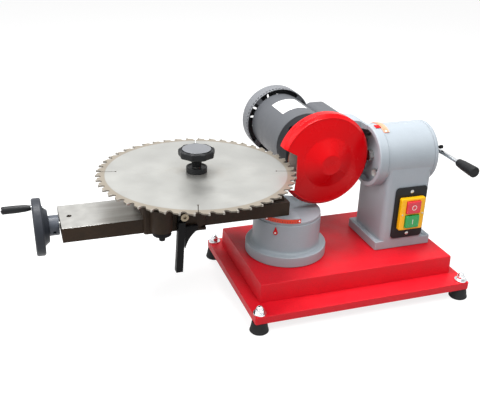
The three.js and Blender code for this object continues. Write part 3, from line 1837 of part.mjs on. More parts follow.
function coolingFan() {
  const discStart = bellStart + bellLength + bodyLength + fitGap + fanGap;
  const disc = turned("y", [
    [rotorRadius + fitGap, discStart],
    [fanRadius, discStart],
    [fanRadius, discStart + fanDisc],
    [fanHubRadius, discStart + fanDisc],
    [fanHubRadius, discStart + rotorTail - fanGap],
    [rotorRadius + fitGap, discStart + rotorTail - fanGap],
  ], middleSteps);
  const blades = [];
  for (let i = 0; i < fanBlades; i += 1) {
    blades.push(blockBetween(
      [fanBladeRoot, fanRadius],
      [discStart + fanDisc / 2, discStart + fanDisc + fanBladeHeight],
      [-fanBladeThickness / 2, fanBladeThickness / 2],
    ).rotateY((fullTurn * i) / fanBlades));
  }
  return joined(disc, ...blades);
}

function grindingWheel() {
  const front = grindClearance;
  const back = front + grindThickness;
  return turned("y", [
    [grindBore, front],
    [grindRadius, front],
    [grindRadius, front + grindEdge],
    [grindBackRadius, back],
    [grindDishRadius, back],
    [grindDishRadius - grindDishDepth, back - grindDishDepth],
    [rotorShoulderRadius + grindDishDepth, back - grindDishDepth],
    [rotorShoulderRadius + fitGap, back],
    [grindBore, back],
  ]);
}

function wheelNut() {
  const flangeBack = grindClearance - fitGap;
  const flangeFront = flangeBack - nutFlangeThickness;
  const nut = joined(
    turned("y", [
      [rotorRadius + fitGap, flangeBack - fitGap],
      [nutFlangeRadius, flangeBack - fitGap],
      [nutFlangeRadius, flangeFront],
      [rotorRadius + fitGap, flangeFront],
    ], middleSteps),
    cut(
      extruded(hexagonShape(wheelNutAcrossFlats), "y", flangeFront - wheelNutThickness, flangeFront + fitGap),
      rod("y", rotorRadius + fitGap, flangeFront - wheelNutThickness - cutOverrun, cutOverrun),
    ),
  );
  return nut;
}

// The guard's section: the rim wall, the stepped face and the bulging middle, then back inside.
function guardShell() {
  const outer = [
    [guardRadius, guardBackY],
    [guardRadius, guardFaceY + guardEdgeRound],
    [guardRadius - guardEdgeRound, guardFaceY],
    [guardStepRadius, guardStepY],
    [guardDomeRadius, guardDomeY],
    [guardCapRadius, guardCapY],
    [guardNoseRadius, guardNoseY],
    [0, guardNoseY],
  ];
  const inner = [
    [0, guardNoseY + guardWall],
    [guardNoseRadius, guardNoseY + guardWall],
    [guardCapRadius, guardCapY + guardWall],
    [guardDomeRadius, guardDomeY + guardWall],
    [guardStepRadius - guardWall, guardStepY + guardWall],
    [guardRadius - guardWall, guardFaceY + guardWall],
    [guardRadius - guardWall, guardBackY],
  ];
  return turned("y", [...outer, ...inner]);
}

function wheelGuard() {
  const reach = guardRadius + notchRun;
  const notch = extruded(shapeOf([
    [notchDepthX, notchBottom],
    [notchDepthX, notchTop],
    [notchDepthX - notchRun, notchTop + notchRise],
    [-reach, notchTop + notchRise],
    [-reach, notchBottom],
  ]), "y", guardNoseY - cutOverrun, guardBackY + cutOverrun);
  const slots = guardSlotAngles.map((angle) => blockBetween(
    [guardRadius - guardWall - cutOverrun, guardRadius + cutOverrun],
    [guardSlotY, guardSlotY + guardSlotWidth],
    [-guardSlotLength / 2, guardSlotLength / 2],
  ).rotateY(-radians(angle)));
  return cut(guardShell(), notch, ...slots).translate(guardOffsetX, 0, 0);
}

// A bent sector of plate that joins the motor's bell to the inside of the guard's rim.
function guardBracket() {
  const outerRadius = guardRadius - guardWall - fitGap;
  const back = bellStart - fitGap;
  const ring = turned("y", [
    [guardBracketInner, back - guardBracketThickness],
    [outerRadius - guardBracketThickness, back - guardBracketThickness],
    [outerRadius - guardBracketThickness, guardBackY - guardBracketOverlap],
    [outerRadius, guardBackY - guardBracketOverlap],
    [outerRadius, back],
    [guardBracketInner, back],
  ]);
  const wedge = extruded(
    sectorShape(guardBracketInner / 2, guardRadius, guardBracketStartAngle, guardBracketEndAngle),
    "y",
    guardFaceY,
    bellStart,
  );
  return common(ring, wedge).translate(guardOffsetX, 0, 0);
}

function motorGroup() {
  return groupAt(
    motorX,
    0,
    motorRise,
    piece("motor_bell", motorBell(), finishes.bellGrey),
    piece("motor_body", motorBody(), finishes.motorGrey),
    piece("fan_cover", fanCover(), finishes.blackPlastic),
    piece("terminal_box", terminalBox(), finishes.castGrey),
    piece("wheel_guard", wheelGuard(), finishes.redGloss),
    piece("guard_bracket", guardBracket(), finishes.bellGrey),
    piece("rotor_shaft", rotorShaft(), finishes.steel),
    piece("cooling_fan", coolingFan(), finishes.blackPlastic),
    piece("grinding_wheel", grindingWheel(), finishes.abrasive),
    piece("wheel_nut", wheelNut(), finishes.steel),
  );
}

function headGroup() {
  return groupAt(
    0,
    machineAxisY,
    headAxisHeight,
    columnGroup(),
    feedGroup(),
    leverGroup(),
    piece("head_bracket", headBracket(), finishes.castGrey),
    piece("head_pointer", headPointer(), finishes.redGloss),
    motorGroup(),
  );
}

// The machine stands on its feet, with its origin under the middle of its outline.
function sharpener() {
  const machine = new THREE.Group();
  machine.add(baseGroup(), pedestalGroup(), headGroup());
  machine.updateMatrixWorld(true);
  const bounds = new THREE.Box3().setFromObject(machine, true);
  const centre = bounds.getCenter(new THREE.Vector3());
  machine.position.set(-centre.x, -centre.y, -bounds.min.z);
  const part = new THREE.Group();
  part.add(machine);
  return part;
}

export default sharpener();
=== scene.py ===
"""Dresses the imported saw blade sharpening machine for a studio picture.

Shapes are in millimetres in the machine's own frame, whose origin is the middle of the base
plate's underside: +X runs along the arm towards the lever, +Y to the motor's fan, +Z up.
"""

import logging
import math
from dataclasses import dataclass
from enum import Enum
from typing import Callable, Iterable, Optional, Sequence, Union

import bmesh
import bpy
from mathutils import Matrix, Vector


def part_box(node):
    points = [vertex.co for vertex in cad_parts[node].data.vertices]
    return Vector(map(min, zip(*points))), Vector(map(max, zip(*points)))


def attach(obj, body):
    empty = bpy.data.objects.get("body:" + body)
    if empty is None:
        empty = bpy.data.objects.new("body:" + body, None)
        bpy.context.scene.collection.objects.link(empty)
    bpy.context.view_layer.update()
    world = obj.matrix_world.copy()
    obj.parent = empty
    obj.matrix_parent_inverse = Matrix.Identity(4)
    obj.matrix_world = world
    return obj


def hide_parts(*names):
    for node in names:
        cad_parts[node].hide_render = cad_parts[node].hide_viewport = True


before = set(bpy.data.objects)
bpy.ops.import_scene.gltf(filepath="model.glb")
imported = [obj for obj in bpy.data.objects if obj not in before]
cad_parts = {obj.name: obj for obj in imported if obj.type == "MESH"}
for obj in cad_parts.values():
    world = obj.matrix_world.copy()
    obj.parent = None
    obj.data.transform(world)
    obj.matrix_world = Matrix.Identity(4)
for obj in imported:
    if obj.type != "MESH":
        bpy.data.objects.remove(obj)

Point = tuple[float, float, float]
Flat = tuple[float, float]
Profile = tuple[Flat, ...]
Colour = tuple[float, float, float]

logging.basicConfig(level=logging.INFO, format="%(message)s")
log = logging.getLogger("sharpener")

# Stations that several sub-assemblies share
SWIVEL_X = -90.0
AXIS_Y = 8.5
HEAD_Z = 205.0
BLADE_X = -248.5
MOTOR_X = -30.0
MOTOR_Z = 207.5
BOX_TOP = 45.8

GAP = 0.3  # between pieces that meet


def machine_matrix() -> Matrix:
    """Works out the matrix from the machine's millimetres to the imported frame's metres.

    Returns:
        The matrix.
    """
    low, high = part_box("base_plate")
    middle = ((low.x + high.x) / 2, (low.y + high.y) / 2, low.z)
    return Matrix.Translation(middle) @ Matrix.Scale(0.001, 4)


TO_FRAME = machine_matrix()


class Axis(Enum):
    """An axis along which a shape is turned or drawn out."""

    X = 0
    Y = 1
    Z = 2

    def place(self, radial: float, along: float) -> Point:
        """Gives a point of a turning profile: radial off the axis, along it."""
        return {0: (along, 0.0, radial), 1: (radial, along, 0.0), 2: (radial, 0.0, along)}[self.value]

    def lay(self, first: float, second: float, along: float) -> Point:
        """Puts an outline's two coordinates across the axis and the third along it.

        Args:
            first: the outline's first coordinate.
            second: its second.
            along: the station on the axis.

        Returns:
            The point.
        """
        point = [first, second]
        point.insert(self.value, along)
        return tuple(point)

    @property
    def vector(self) -> Vector:
        """The axis as a unit vector."""
        return Vector([1.0 if i == self.value else 0.0 for i in range(3)])


def arc(centre: Flat, radius: float, angles: Iterable[float]) -> Profile:
    """Gives the points of an arc at a list of angles in degrees."""
    turns = [math.radians(angle) for angle in angles]
    return tuple((centre[0] + radius * math.cos(t), centre[1] + radius * math.sin(t)) for t in turns)


def colour(text: str) -> Colour:
    """Turns a six-figure display colour into linear light.

    Args:
        text: red, green and blue as six hexadecimal figures.

    Returns:
        The colour as three linear values.
    """
    parts = [int(text[i : i + 2], 16) / 255 for i in (0, 2, 4)]
    return tuple(c / 12.92 if c <= 0.04045 else ((c + 0.055) / 1.055) ** 2.4 for c in parts)


def in_scene(name: str, data: bpy.types.ID) -> bpy.types.Object:
    """Puts a mesh, a lamp or a camera into the scene as an object.

    Args:
        name: the object's name.
        data: what it shows.

    Returns:
        The object.
    """
    made = bpy.data.objects.new(name, data)
    bpy.context.scene.collection.objects.link(made)
    return made


# Finishes

Socket = bpy.types.NodeSocket
Value = Union[float, Point, Socket]


class Net:
    """Adds and links the nodes of one material."""

    def __init__(self, tree: bpy.types.NodeTree) -> None:
        """Starts on a node tree."""
        self.tree = tree

    def fill(self, socket: Socket, value: Value) -> None:
        """Links a socket, or gives it a plain value.

        Args:
            socket: the socket to fill.
            value: an output to link, a number, or a vector or colour.
        """
        if isinstance(value, Socket):
            self.tree.links.new(value, socket)
        else:
            socket.default_value = (*value, 1.0) if socket.type == "RGBA" else value

    def node(self, kind: str, *values: Value, **options: str) -> bpy.types.Node:
        """Adds a node.

        Args:
            kind: the node's type.
            values: links or plain values for its first sockets.
            options: its settings.

        Returns:
            The node.
        """
        made = self.tree.nodes.new(kind)
        for name, option in options.items():
            setattr(made, name, option)
        for socket, value in zip(made.inputs, values):
            self.fill(socket, value)
        return made

    def math(self, operation: str, *values: Value) -> Socket:
        """Works out a number from one, two or three others."""
        return self.node("ShaderNodeMath", *values, operation=operation).outputs[0]

    def vector(self, operation: str, *values: Value) -> Socket:
        """Works out a vector, or the length of one."""
        node = self.node("ShaderNodeVectorMath", *values, operation=operation)
        return node.outputs["Value"] if operation == "LENGTH" else node.outputs["Vector"]

    def noise(self, vector: Socket, size: float, detail: float = 3.0) -> Socket:
        """Makes a noise.

        Args:
            vector: the coordinates.
            size: how many millimetres its features are across.
            detail: how many finer layers it has.

        Returns:
            The noise, mostly between 0.3 and 0.7.
        """
        node = self.node("ShaderNodeTexNoise")
        for name, value in (("Vector", vector), ("Scale", 1000.0 / size), ("Detail", detail)):
            self.fill(node.inputs[name], value)
        return node.outputs["Fac"]

    def between(self, value: Value, low: float, high: float, first: float, last: float) -> Socket:
        """Maps the range low to high onto first to last, and holds it there."""
        return self.node("ShaderNodeMapRange", value, low, high, first, last).outputs[0]

    def blend(self, share: Value, first: Value, second: Value) -> Socket:
        """Mixes two colours by a share of the second.

        Args:
            share: the second's share, from 0 to 1.
            first: the first colour.
            second: the second colour.

        Returns:
            The colour.
        """
        node = self.node("ShaderNodeMix", data_type="RGBA")
        for place, value in ((0, share), (6, first), (7, second)):
            self.fill(node.inputs[place], value)
        return node.outputs[2]

    def placed(self, centre: Point) -> Socket:
        """Gives the object's own coordinates, measured from a point of the machine's frame.

        Args:
            centre: the point.

        Returns:
            The coordinates, in metres.
        """
        place = self.node("ShaderNodeMapping", vector_type="POINT")
        place.inputs["Location"].default_value = -(TO_FRAME @ Vector(centre))
        self.fill(place.inputs["Vector"], self.node("ShaderNodeTexCoord").outputs["Object"])
        return place.outputs["Vector"]

    def radius(self, place: Socket) -> Socket:
        """Gives the distance from the upright axis, in metres."""
        return self.vector("LENGTH", self.vector("MULTIPLY", place, (1.0, 1.0, 0.0)))

    def stretched(self, place: Socket, scale: Point, size: float, detail: float) -> Socket:
        """Makes a noise that is drawn out along one direction. See noise."""
        return self.noise(self.vector("MULTIPLY", place, scale), size, detail)


class Pattern(Enum):
    """How the fine relief of a finish lies on its surface."""

    GRAIN = "grain"
    RINGS = "rings"
    STROKES = "strokes"


NOISE_SPAN = (0.3, 0.7)
SMOOTHEST = 0.03
SPECKLE_SPAN = (0.38, 0.52)
SPECKLE_SHARE = 0.55


@dataclass(frozen=True)
class Finish:
    """A surface finish. Lengths are in millimetres.

    Attributes:
        slot: the name of a material slot; not used.
        tint: the display colour as hexadecimal figures.
        roughness: how matt the surface is.
        metallic: 1 for bare metal, 0 for paint and plastic.
        specular: strength of the plain reflection.
        grain: size of the fine relief.
        relief: height of the fine relief.
        mottle: share by which the colour wanders.
        patch: size of the patches in which it wanders.
        speckle: share by which the colour changes with the grain.
        smear: how far the roughness wanders.
        pattern: how the fine relief lies.
        centre: the middle of a ring pattern, in the machine's frame.
        stretch: scale factors of the strokes along X, Y and Z.
    """

    slot: str
    tint: str
    roughness: float
    metallic: float = 0.0
    specular: float = 0.5
    grain: float = 0.8
    relief: float = 0.02
    mottle: float = 0.06
    patch: float = 14.0
    speckle: float = 0.0
    smear: float = 0.06
    pattern: Pattern = Pattern.GRAIN
    centre: Point = (0.0, 0.0, 0.0)
    stretch: Point = (1.0, 1.0, 1.0)

    def material(self, name: str) -> bpy.types.Material:
        """Builds the node material.

        Args:
            name: the material's name.

        Returns:
            The material.
        """
        made = bpy.data.materials.new(name)
        made.use_nodes = True
        net = Net(made.node_tree)
        shader = made.node_tree.nodes["Principled BSDF"].inputs
        place = net.placed(self.centre)
        patches = net.noise(place, self.patch, 4.0)
        grain = self.grain_of(net, place)
        tint = self.tinted(net, place, net.between(patches, *NOISE_SPAN, 0.0, 1.0), grain)
        low, high = max(self.roughness - self.smear, SMOOTHEST), self.roughness + self.smear
        bump = net.node("ShaderNodeBump")
        for socket, value in (
            (bump.inputs["Strength"], 1.0),
            (bump.inputs["Distance"], self.relief / 1000.0),
            (bump.inputs["Height"], grain),
            (shader["Metallic"], self.metallic),
            (shader["Specular IOR Level"], self.specular),
            (shader["Base Color"], tint),
            (shader["Roughness"], net.between(patches, *NOISE_SPAN, low, high)),
            (shader["Normal"], bump.outputs["Normal"]),
        ):
            net.fill(socket, value)
        return made

    def grain_of(self, net: Net, place: Socket) -> Socket:
        """Gives the fine relief: an even grain, rings about the centre, or straight strokes.

        Args:
            net: the material's net.
            place: the coordinates.

        Returns:
            The relief, from 0 to 1.
        """
        if self.pattern is Pattern.RINGS:
            return net.noise(net.radius(place), self.grain)
        if self.pattern is Pattern.STROKES:
            return net.stretched(place, self.stretch, self.grain, 3.0)
        return net.noise(place, self.grain)

    def tinted(self, net: Net, place: Socket, share: Socket, grain: Socket) -> Socket:
        """Gives the surface's colour.

        Args:
            net: the material's net.
            place: the coordinates.
            share: the soft patches, from 0 to 1.
            grain: the fine relief, from 0 to 1.

        Returns:
            The colour.
        """
        base = colour(self.tint)
        low, high = (tuple(min(c * (1 + way * self.mottle), 1.0) for c in base) for way in (-1, 1))
        soft = net.blend(share, low, high)
        if self.speckle <= 0:
            return soft
        dark = tuple(c * (1 - self.speckle) for c in base)
        return net.blend(net.between(grain, *SPECKLE_SPAN, SPECKLE_SHARE, 0.0), soft, dark)


@dataclass(frozen=True)
class GroundBlade(Finish):
    """Ground blade steel: a darker toothed rim, a fine line inside it, and stains round the collar.

    Attributes:
        rim_radius: where the toothed rim starts.
        rim_tint: the rim's colour.
        line_tint: the colour of the line.
        line_span: how far from the line it starts to fade, and how far off it ends.
        line_share: the line's strength.
        stain_tint: the colour of the stains.
        stain_span: where round the axis they are strongest, and how far out they reach.
        stain_share: their strength.
        streak_stretch: scale factors of the streaks across the blade.
        streak_share: their strength.
    """

    rim_radius: float = 143.0
    rim_tint: str = "9a9183"
    line_tint: str = "8d867c"
    line_span: Flat = (0.2, 0.9)
    line_share: float = 0.35
    stain_tint: str = "a09c94"
    stain_span: Flat = (18.0, 62.0)
    stain_share: float = 0.7
    streak_stretch: Point = (0.25, 1.4, 1.0)
    streak_share: float = 0.35

    def tinted(self, net: Net, place: Socket, share: Socket, grain: Socket) -> Socket:
        """Gives the blade's colour. See Finish.tinted."""
        body = Finish.tinted(self, net, place, share, grain)
        stain = colour(self.stain_tint)
        radius = net.math("MULTIPLY", net.radius(place), 1000.0)
        wander = net.between(net.noise(place, 26.0, 5.0), 0.42, 0.62, 0.0, 1.0)
        dirt = net.math("MULTIPLY", net.between(radius, *self.stain_span, 1.0, 0.0), wander)
        stained = net.blend(net.math("MULTIPLY", dirt, self.stain_share), body, stain)
        streaks = net.stretched(place, self.streak_stretch, 9.0, 6.0)
        streaked = net.blend(net.between(streaks, 0.6, 0.75, 0.0, self.streak_share), stained, stain)
        ring = net.between(radius, self.rim_radius - 0.5, self.rim_radius + 0.3, 0.0, 1.0)
        rimmed = net.blend(ring, streaked, colour(self.rim_tint))
        off = net.math("ABSOLUTE", net.math("SUBTRACT", radius, self.rim_radius))
        line = net.math("SUBTRACT", 1.0, net.between(off, *self.line_span, 0.0, 1.0))
        return net.blend(net.math("MULTIPLY", line, self.line_share), rimmed, colour(self.line_tint))


@dataclass(frozen=True)
class ShadedGroundBar(Finish):
    """A ground steel top with painted shade: its colour darkens to brown along the bar, under the blade.

    Attributes:
        shade_tint: the painted shade's colour at the far end, under the blade.
        shade_span: the stations along X where the painted shade starts, at the blade's rim, and where it
            is full.
        wander: how far that border wanders.
        streak_stretch: scale factors of the streaks in which it wanders.
    """

    shade_tint: str = "7d746c"
    shade_span: Flat = (-405.0, -290.0)
    wander: float = 22.0
    streak_stretch: Point = (0.06, 1.0, 1.0)

    def tinted(self, net: Net, place: Socket, share: Socket, grain: Socket) -> Socket:
        """Gives the top's colour, with the painted shade under the blade. See Finish.tinted."""
        body = Finish.tinted(self, net, place, share, grain)
        along = net.math("MULTIPLY", net.node("ShaderNodeSeparateXYZ", place).outputs["X"], 1000.0)
        streak = net.stretched(place, self.streak_stretch, 9.0, 2.0)
        border = net.math("ADD", along, net.between(streak, 0.35, 0.65, -self.wander, self.wander))
        # painted shade: the top turns darker and browner from the blade's rim inwards
        return net.blend(net.between(border, *self.shade_span, 0.0, 1.0), body, colour(self.shade_tint))


FINISHES: dict[str, Finish] = {
    "textured_red": Finish("red_paint", "d20b1f", 0.5, specular=0.35, grain=1.5, relief=0.16,
                           mottle=0.05, patch=25.0, speckle=0.22),
    "gloss_red": Finish("guard_paint", "c60009", 0.26, specular=0.16, grain=40.0, relief=0.15,
                        mottle=0.03, patch=60.0),
    "cast_grey": Finish("grey_casting", "9ba3aa", 0.42, specular=0.4, grain=1.3, relief=0.03,
                        mottle=0.03, patch=22.0, speckle=0.08),
    "motor_grey": Finish("motor_housing", "505256", 0.45, specular=0.3, grain=1.0, relief=0.05,
                         mottle=0.04, speckle=0.08),
    "bell_grey": Finish("motor_housing", "1c1d20", 0.6, specular=0.1, grain=1.0, relief=0.05,
                        mottle=0.05, speckle=0.08),
    "cover_grey": Finish("motor_housing", "6c6e72", 0.5, specular=0.4, grain=1.0, relief=0.05,
                         mottle=0.04, speckle=0.06),
    "dark_iron": Finish("dark_iron", "30251c", 0.55, specular=0.15, grain=1.3, relief=0.05,
                        mottle=0.2, patch=10.0, speckle=0.2),
    # the ground top carries a painted shade where the blade hangs over the bar
    "ground_top": ShadedGroundBar("dark_iron", "b2b1ad", 0.36, 0.85, grain=1.6, relief=0.003, mottle=0.04,
                            pattern=Pattern.STROKES, stretch=(0.04, 1.0, 1.0)),
    "blade_steel": GroundBlade("blade_steel", "acaca8", 0.34, 0.75, grain=0.9, relief=0.008,
                               mottle=0.05, patch=55.0, pattern=Pattern.RINGS,
                               centre=(BLADE_X, AXIS_Y, HEAD_Z)),
    "blade_edge": Finish("blade_steel", "6c655c", 0.5, 0.5, mottle=0.15),
    "carbide": Finish("blade_steel", "8f8a82", 0.4, 0.6, grain=0.6, mottle=0.1),
    "steel": Finish("steel", "bdbdb9", 0.28, 0.95, grain=0.7, relief=0.01, mottle=0.05),
    "chrome": Finish("chrome", "dfe1e3", 0.12, 1.0, grain=2.0, relief=0.004, mottle=0.02, smear=0.04),
    "brass": Finish("steel", "857a68", 0.35, 0.9, grain=0.7, relief=0.01, mottle=0.08),
    "black_plastic": Finish("black_plastic", "17181a", 0.42, specular=0.2, grain=0.5, mottle=0.08),
    "knob_disc": Finish("black_plastic", "606266", 0.35, grain=0.5, mottle=0.04),
    "black_iron": Finish("dark_iron", "101011", 0.5, specular=0.12, grain=0.9, relief=0.03, mottle=0.1),
    "wheel_plastic": Finish("handwheel_plastic", "2a2d33", 0.42, specular=0.2, grain=0.7, relief=0.03),
    "collar_grey": Finish("grey_casting", "474c55", 0.4, specular=0.3),
    "rubber": Finish("rubber", "161617", 0.7, specular=0.3, grain=0.7, relief=0.05, mottle=0.12),
    "scale_orange": Finish("scale_orange", "dc3f1e", 0.35, specular=0.4, relief=0.01, mottle=0.05),
    "scale_faded": Finish("scale_orange", "ef9a7c", 0.35, specular=0.4, relief=0.01),
    "mark_white": Finish("black_plastic", "eceae4", 0.5, relief=0.005, mottle=0.03),
    "mark_dark": Finish("black_plastic", "5a1710", 0.5, relief=0.005, mottle=0.03),
    "label_white": Finish("motor_housing", "eeeeec", 0.4, grain=3.0, relief=0.01, mottle=0.03),
    "switch_yellow": Finish("switch_yellow", "f7bb0c", 0.3, specular=0.4, grain=1.2, relief=0.01,
                            mottle=0.02),
    "stop_red": Finish("stop_red", "d3263a", 0.25, grain=1.2, relief=0.008, mottle=0.03),
    "start_green": Finish("start_green", "1c9b4c", 0.25, grain=1.2, relief=0.008, mottle=0.03),
    "abrasive": Finish("abrasive", "6f3d2b", 0.9, specular=0.2, grain=0.7, relief=0.12, mottle=0.25,
                       patch=2.0),
    "abrasive_face": Finish("abrasive", "aaa39c", 0.85, specular=0.2, grain=0.7, relief=0.1,
                            mottle=0.12, patch=2.0),
}
_made: dict[str, bpy.types.Material] = {}


def dressed(finish: str) -> bpy.types.Material:
    """Finds the material of a named finish, built the first time it is asked for.

    Args:
        finish: the finish's name.

    Returns:
        The material.
    """
    if finish not in _made:
        _made[finish] = FINISHES[finish].material(finish)
    return _made[finish]


# Shapes


class Form:
    """A shape in the making, in millimetres in the machine's frame."""

    def __init__(self, mesh: Optional[bmesh.types.BMesh] = None) -> None:
        """Starts from a mesh, or from nothing."""
        self.mesh = mesh or bmesh.new()

    @classmethod
    def of_node(cls, node: str, flat_angle: float = 0.6) -> "Form":
        """Copies a CAD node, with its loose triangles merged into whole faces.

        Args:
            node: the CAD node's name.
            flat_angle: faces that meet at less than this many degrees become one.

        Returns:
            The shape in the machine's frame.
        """
        mesh = bmesh.new()
        mesh.from_mesh(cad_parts[node].data)
        mesh.transform(TO_FRAME.inverted())
        bmesh.ops.remove_doubles(mesh, verts=mesh.verts, dist=0.003)
        return cls(mesh)._flattened(flat_angle)

    @classmethod
    def turned(
        cls, axis: Axis, profile: Sequence[Flat], centre: Point = (0, 0, 0), steps: int = 96,
    ) -> "Form":
        """Spins a profile about an axis.

        Args:
            axis: the axis of turning.
            profile: (radius, station) points. Ends off the axis are joined into a ring.
            centre: where the axis passes, in the machine's frame.
            steps: how many facets the full turn has.

        Returns:
            The closed solid.
        """
        mesh = bmesh.new()
        verts = [mesh.verts.new(axis.place(r, s)) for r, s in profile]
        edges = [mesh.edges.new(pair) for pair in zip(verts, verts[1:])]
        if profile[0][0] > 0:
            edges.append(mesh.edges.new((verts[-1], verts[0])))
        bmesh.ops.spin(
            mesh, geom=verts + edges, cent=(0, 0, 0), axis=axis.vector, angle=math.tau, steps=steps,
            use_merge=True,
        )
        bmesh.ops.remove_doubles(mesh, verts=mesh.verts, dist=0.001)
        bmesh.ops.dissolve_degenerate(mesh, dist=0.0005, edges=mesh.edges)
        bmesh.ops.recalc_face_normals(mesh, faces=mesh.faces)
        return cls(mesh).moved(centre)

    @classmethod
    def block(cls, low: Point, high: Point) -> "Form":
        """Makes a block between two corners.

        Args:
            low: the corner with the lowest coordinates.
            high: the one with the highest.

        Returns:
            The block.
        """
        mesh = bmesh.new()
        bmesh.ops.create_cube(mesh, size=1.0)
        form = cls(mesh).apply(Matrix.Diagonal(Vector(high) - Vector(low)).to_4x4())
        return form.moved((Vector(low) + Vector(high)) / 2)

    @classmethod
    def rod(cls, axis: Axis, radius: float, start: Point, length: float, steps: int = 32) -> "Form":
        """Makes a round rod that runs from a point along an axis."""
        return cls.turned(axis, [(0, 0), (radius, 0), (radius, length), (0, length)], start, steps)

    @classmethod
    def drawn(cls, axis: Axis, outline: Sequence[Flat], low: float, high: float) -> "Form":
        """Draws an outline out along an axis.

        Args:
            axis: the axis to draw along.
            outline: the points, across the axis.
            low: the station where it starts.
            high: the station where it ends.

        Returns:
            The closed solid.
        """
        mesh = bmesh.new()
        face = mesh.faces.new([mesh.verts.new(axis.lay(a, b, low)) for a, b in outline])
        grown = bmesh.ops.extrude_face_region(mesh, geom=[face])
        moved = [g for g in grown["geom"] if isinstance(g, bmesh.types.BMVert)]
        bmesh.ops.translate(mesh, verts=moved, vec=axis.vector * (high - low))
        bmesh.ops.recalc_face_normals(mesh, faces=mesh.faces)
        return cls(mesh)

    def apply(self, matrix: Matrix) -> "Form":
        """Transforms the shape."""
        bmesh.ops.transform(self.mesh, matrix=matrix, verts=self.mesh.verts)
        return self

    def moved(self, by: Iterable[float]) -> "Form":
        """Moves the shape."""
        return self.apply(Matrix.Translation(tuple(by)))

    def swung(self, axis: Axis, degrees: float, about: Point = (0, 0, 0)) -> "Form":
        """Turns the shape about an axis through a point.

        Args:
            axis: the direction of the axis.
            degrees: how far it turns.
            about: the point.

        Returns:
            The same form.
        """
        there = Matrix.Translation(about)
        turn = Matrix.Rotation(math.radians(degrees), 4, axis.name)
        return self.apply(there @ turn @ there.inverted())

    def with_(self, *others: "Form") -> "Form":
        """Takes other closed shapes into the same piece, without a boolean, and uses them up.

        Args:
            others: the other shapes.

        Returns:
            The same form.
        """
        for other in others:
            scratch = bpy.data.meshes.new("scratch")
            other.mesh.to_mesh(scratch)
            other.mesh.free()
            self.mesh.from_mesh(scratch)
            bpy.data.meshes.remove(scratch)
        return self

    def softened(self, width: float, segments: int = 2, angle: float = 32.0) -> "Form":
        """Bevels the edges that are sharper than an angle.

        Args:
            width: the bevel's width.
            segments: how many strips it has.
            angle: the angle in degrees.

        Returns:
            The same form.
        """
        limit = math.radians(angle)
        sharp = [e for e in self.mesh.edges if e.is_manifold and e.calc_face_angle(0.0) > limit]
        return self._bevelled(sharp, width, segments)

    def rounded(self, axis: Axis, width: float, segments: int = 6, within: float = 1e9) -> "Form":
        """Rounds the sharp edges that run along an axis.

        Args:
            axis: the axis that the edges follow.
            width: the width of the rounding.
            segments: how many strips it has.
            within: only edges nearer to the axis than this are rounded.

        Returns:
            The same form.
        """
        chosen = []
        for edge in self.mesh.edges:
            run = (edge.verts[1].co - edge.verts[0].co).normalized()
            away = (edge.verts[0].co * (Vector((1, 1, 1)) - axis.vector)).length
            if abs(run[axis.value]) > 0.999 and edge.calc_face_angle(0.0) > 0.1 and away < within:
                chosen.append(edge)
        return self._bevelled(chosen, width, segments)

    def _bevelled(self, edges: list[bmesh.types.BMEdge], width: float, segments: int) -> "Form":
        """Bevels edges to a width, in a number of strips.

        Args:
            edges: the edges.
            width: the bevel's width.
            segments: how many strips it has.

        Returns:
            The same form.
        """
        bmesh.ops.bevel(
            self.mesh, geom=edges, offset=width, offset_type="OFFSET", segments=segments, profile=0.5,
            affect="EDGES", clamp_overlap=True, material=-1, loop_slide=True,
        )
        return self

    def _flattened(self, degrees: float) -> "Form":
        """Merges faces that meet at less than an angle.

        Args:
            degrees: the angle.

        Returns:
            The same form.
        """
        bmesh.ops.dissolve_limit(
            self.mesh, angle_limit=math.radians(degrees), verts=self.mesh.verts, edges=self.mesh.edges,
        )
        return self

    def around(self, axis: Axis, count: int) -> "Form":
        """Repeats the shape evenly round an axis through the origin.

        Args:
            axis: the axis.
            count: how many there are in all.

        Returns:
            The same form, with its copies.
        """
        single = self.mesh.copy()
        for place in range(1, count):
            self.with_(Form(single.copy()).swung(axis, 360.0 * place / count))
        single.free()
        return self

    def cut(self, *tools: "Form") -> "Form":
        """Cuts other shapes away, and uses them up."""
        return self._boolean("DIFFERENCE", tools)

    def joined(self, *tools: "Form") -> "Form":
        """Joins other shapes into one body, and uses them up."""
        return self._boolean("UNION", tools)

    def _boolean(self, operation: str, tools: Iterable["Form"]) -> "Form":
        """Runs a boolean with each tool in turn.

        The flat ends of turned shapes are fans of triangles. They are merged first, so that
        their edges leave no points behind where the shapes meet.

        Args:
            operation: the boolean modifier's operation.
            tools: the other shapes.

        Returns:
            The same form.
        """
        body = self._flattened(0.05)._object("scratch_body")
        helpers = [tool._flattened(0.05)._object("scratch_tool") for tool in tools]
        for helper in helpers:
            modifier = body.modifiers.new("boolean", "BOOLEAN")
            modifier.operation = operation
            modifier.object = helper
            modifier.solver = "EXACT"
        bpy.context.view_layer.update()
        depsgraph = bpy.context.evaluated_depsgraph_get()
        result = bpy.data.meshes.new_from_object(body.evaluated_get(depsgraph))
        self.mesh = bmesh.new()
        self.mesh.from_mesh(result)
        for scratch in [result, body.data, *(helper.data for helper in helpers)]:
            bpy.data.meshes.remove(scratch)
        return self._flattened(0.4)

    def _object(self, name: str) -> bpy.types.Object:
        """Turns the shape into an object, and frees its own mesh.

        Args:
            name: the object's name.

        Returns:
            The object.
        """
        data = bpy.data.meshes.new(name)
        self.mesh.to_mesh(data)
        self.mesh.free()
        return in_scene(name, data)

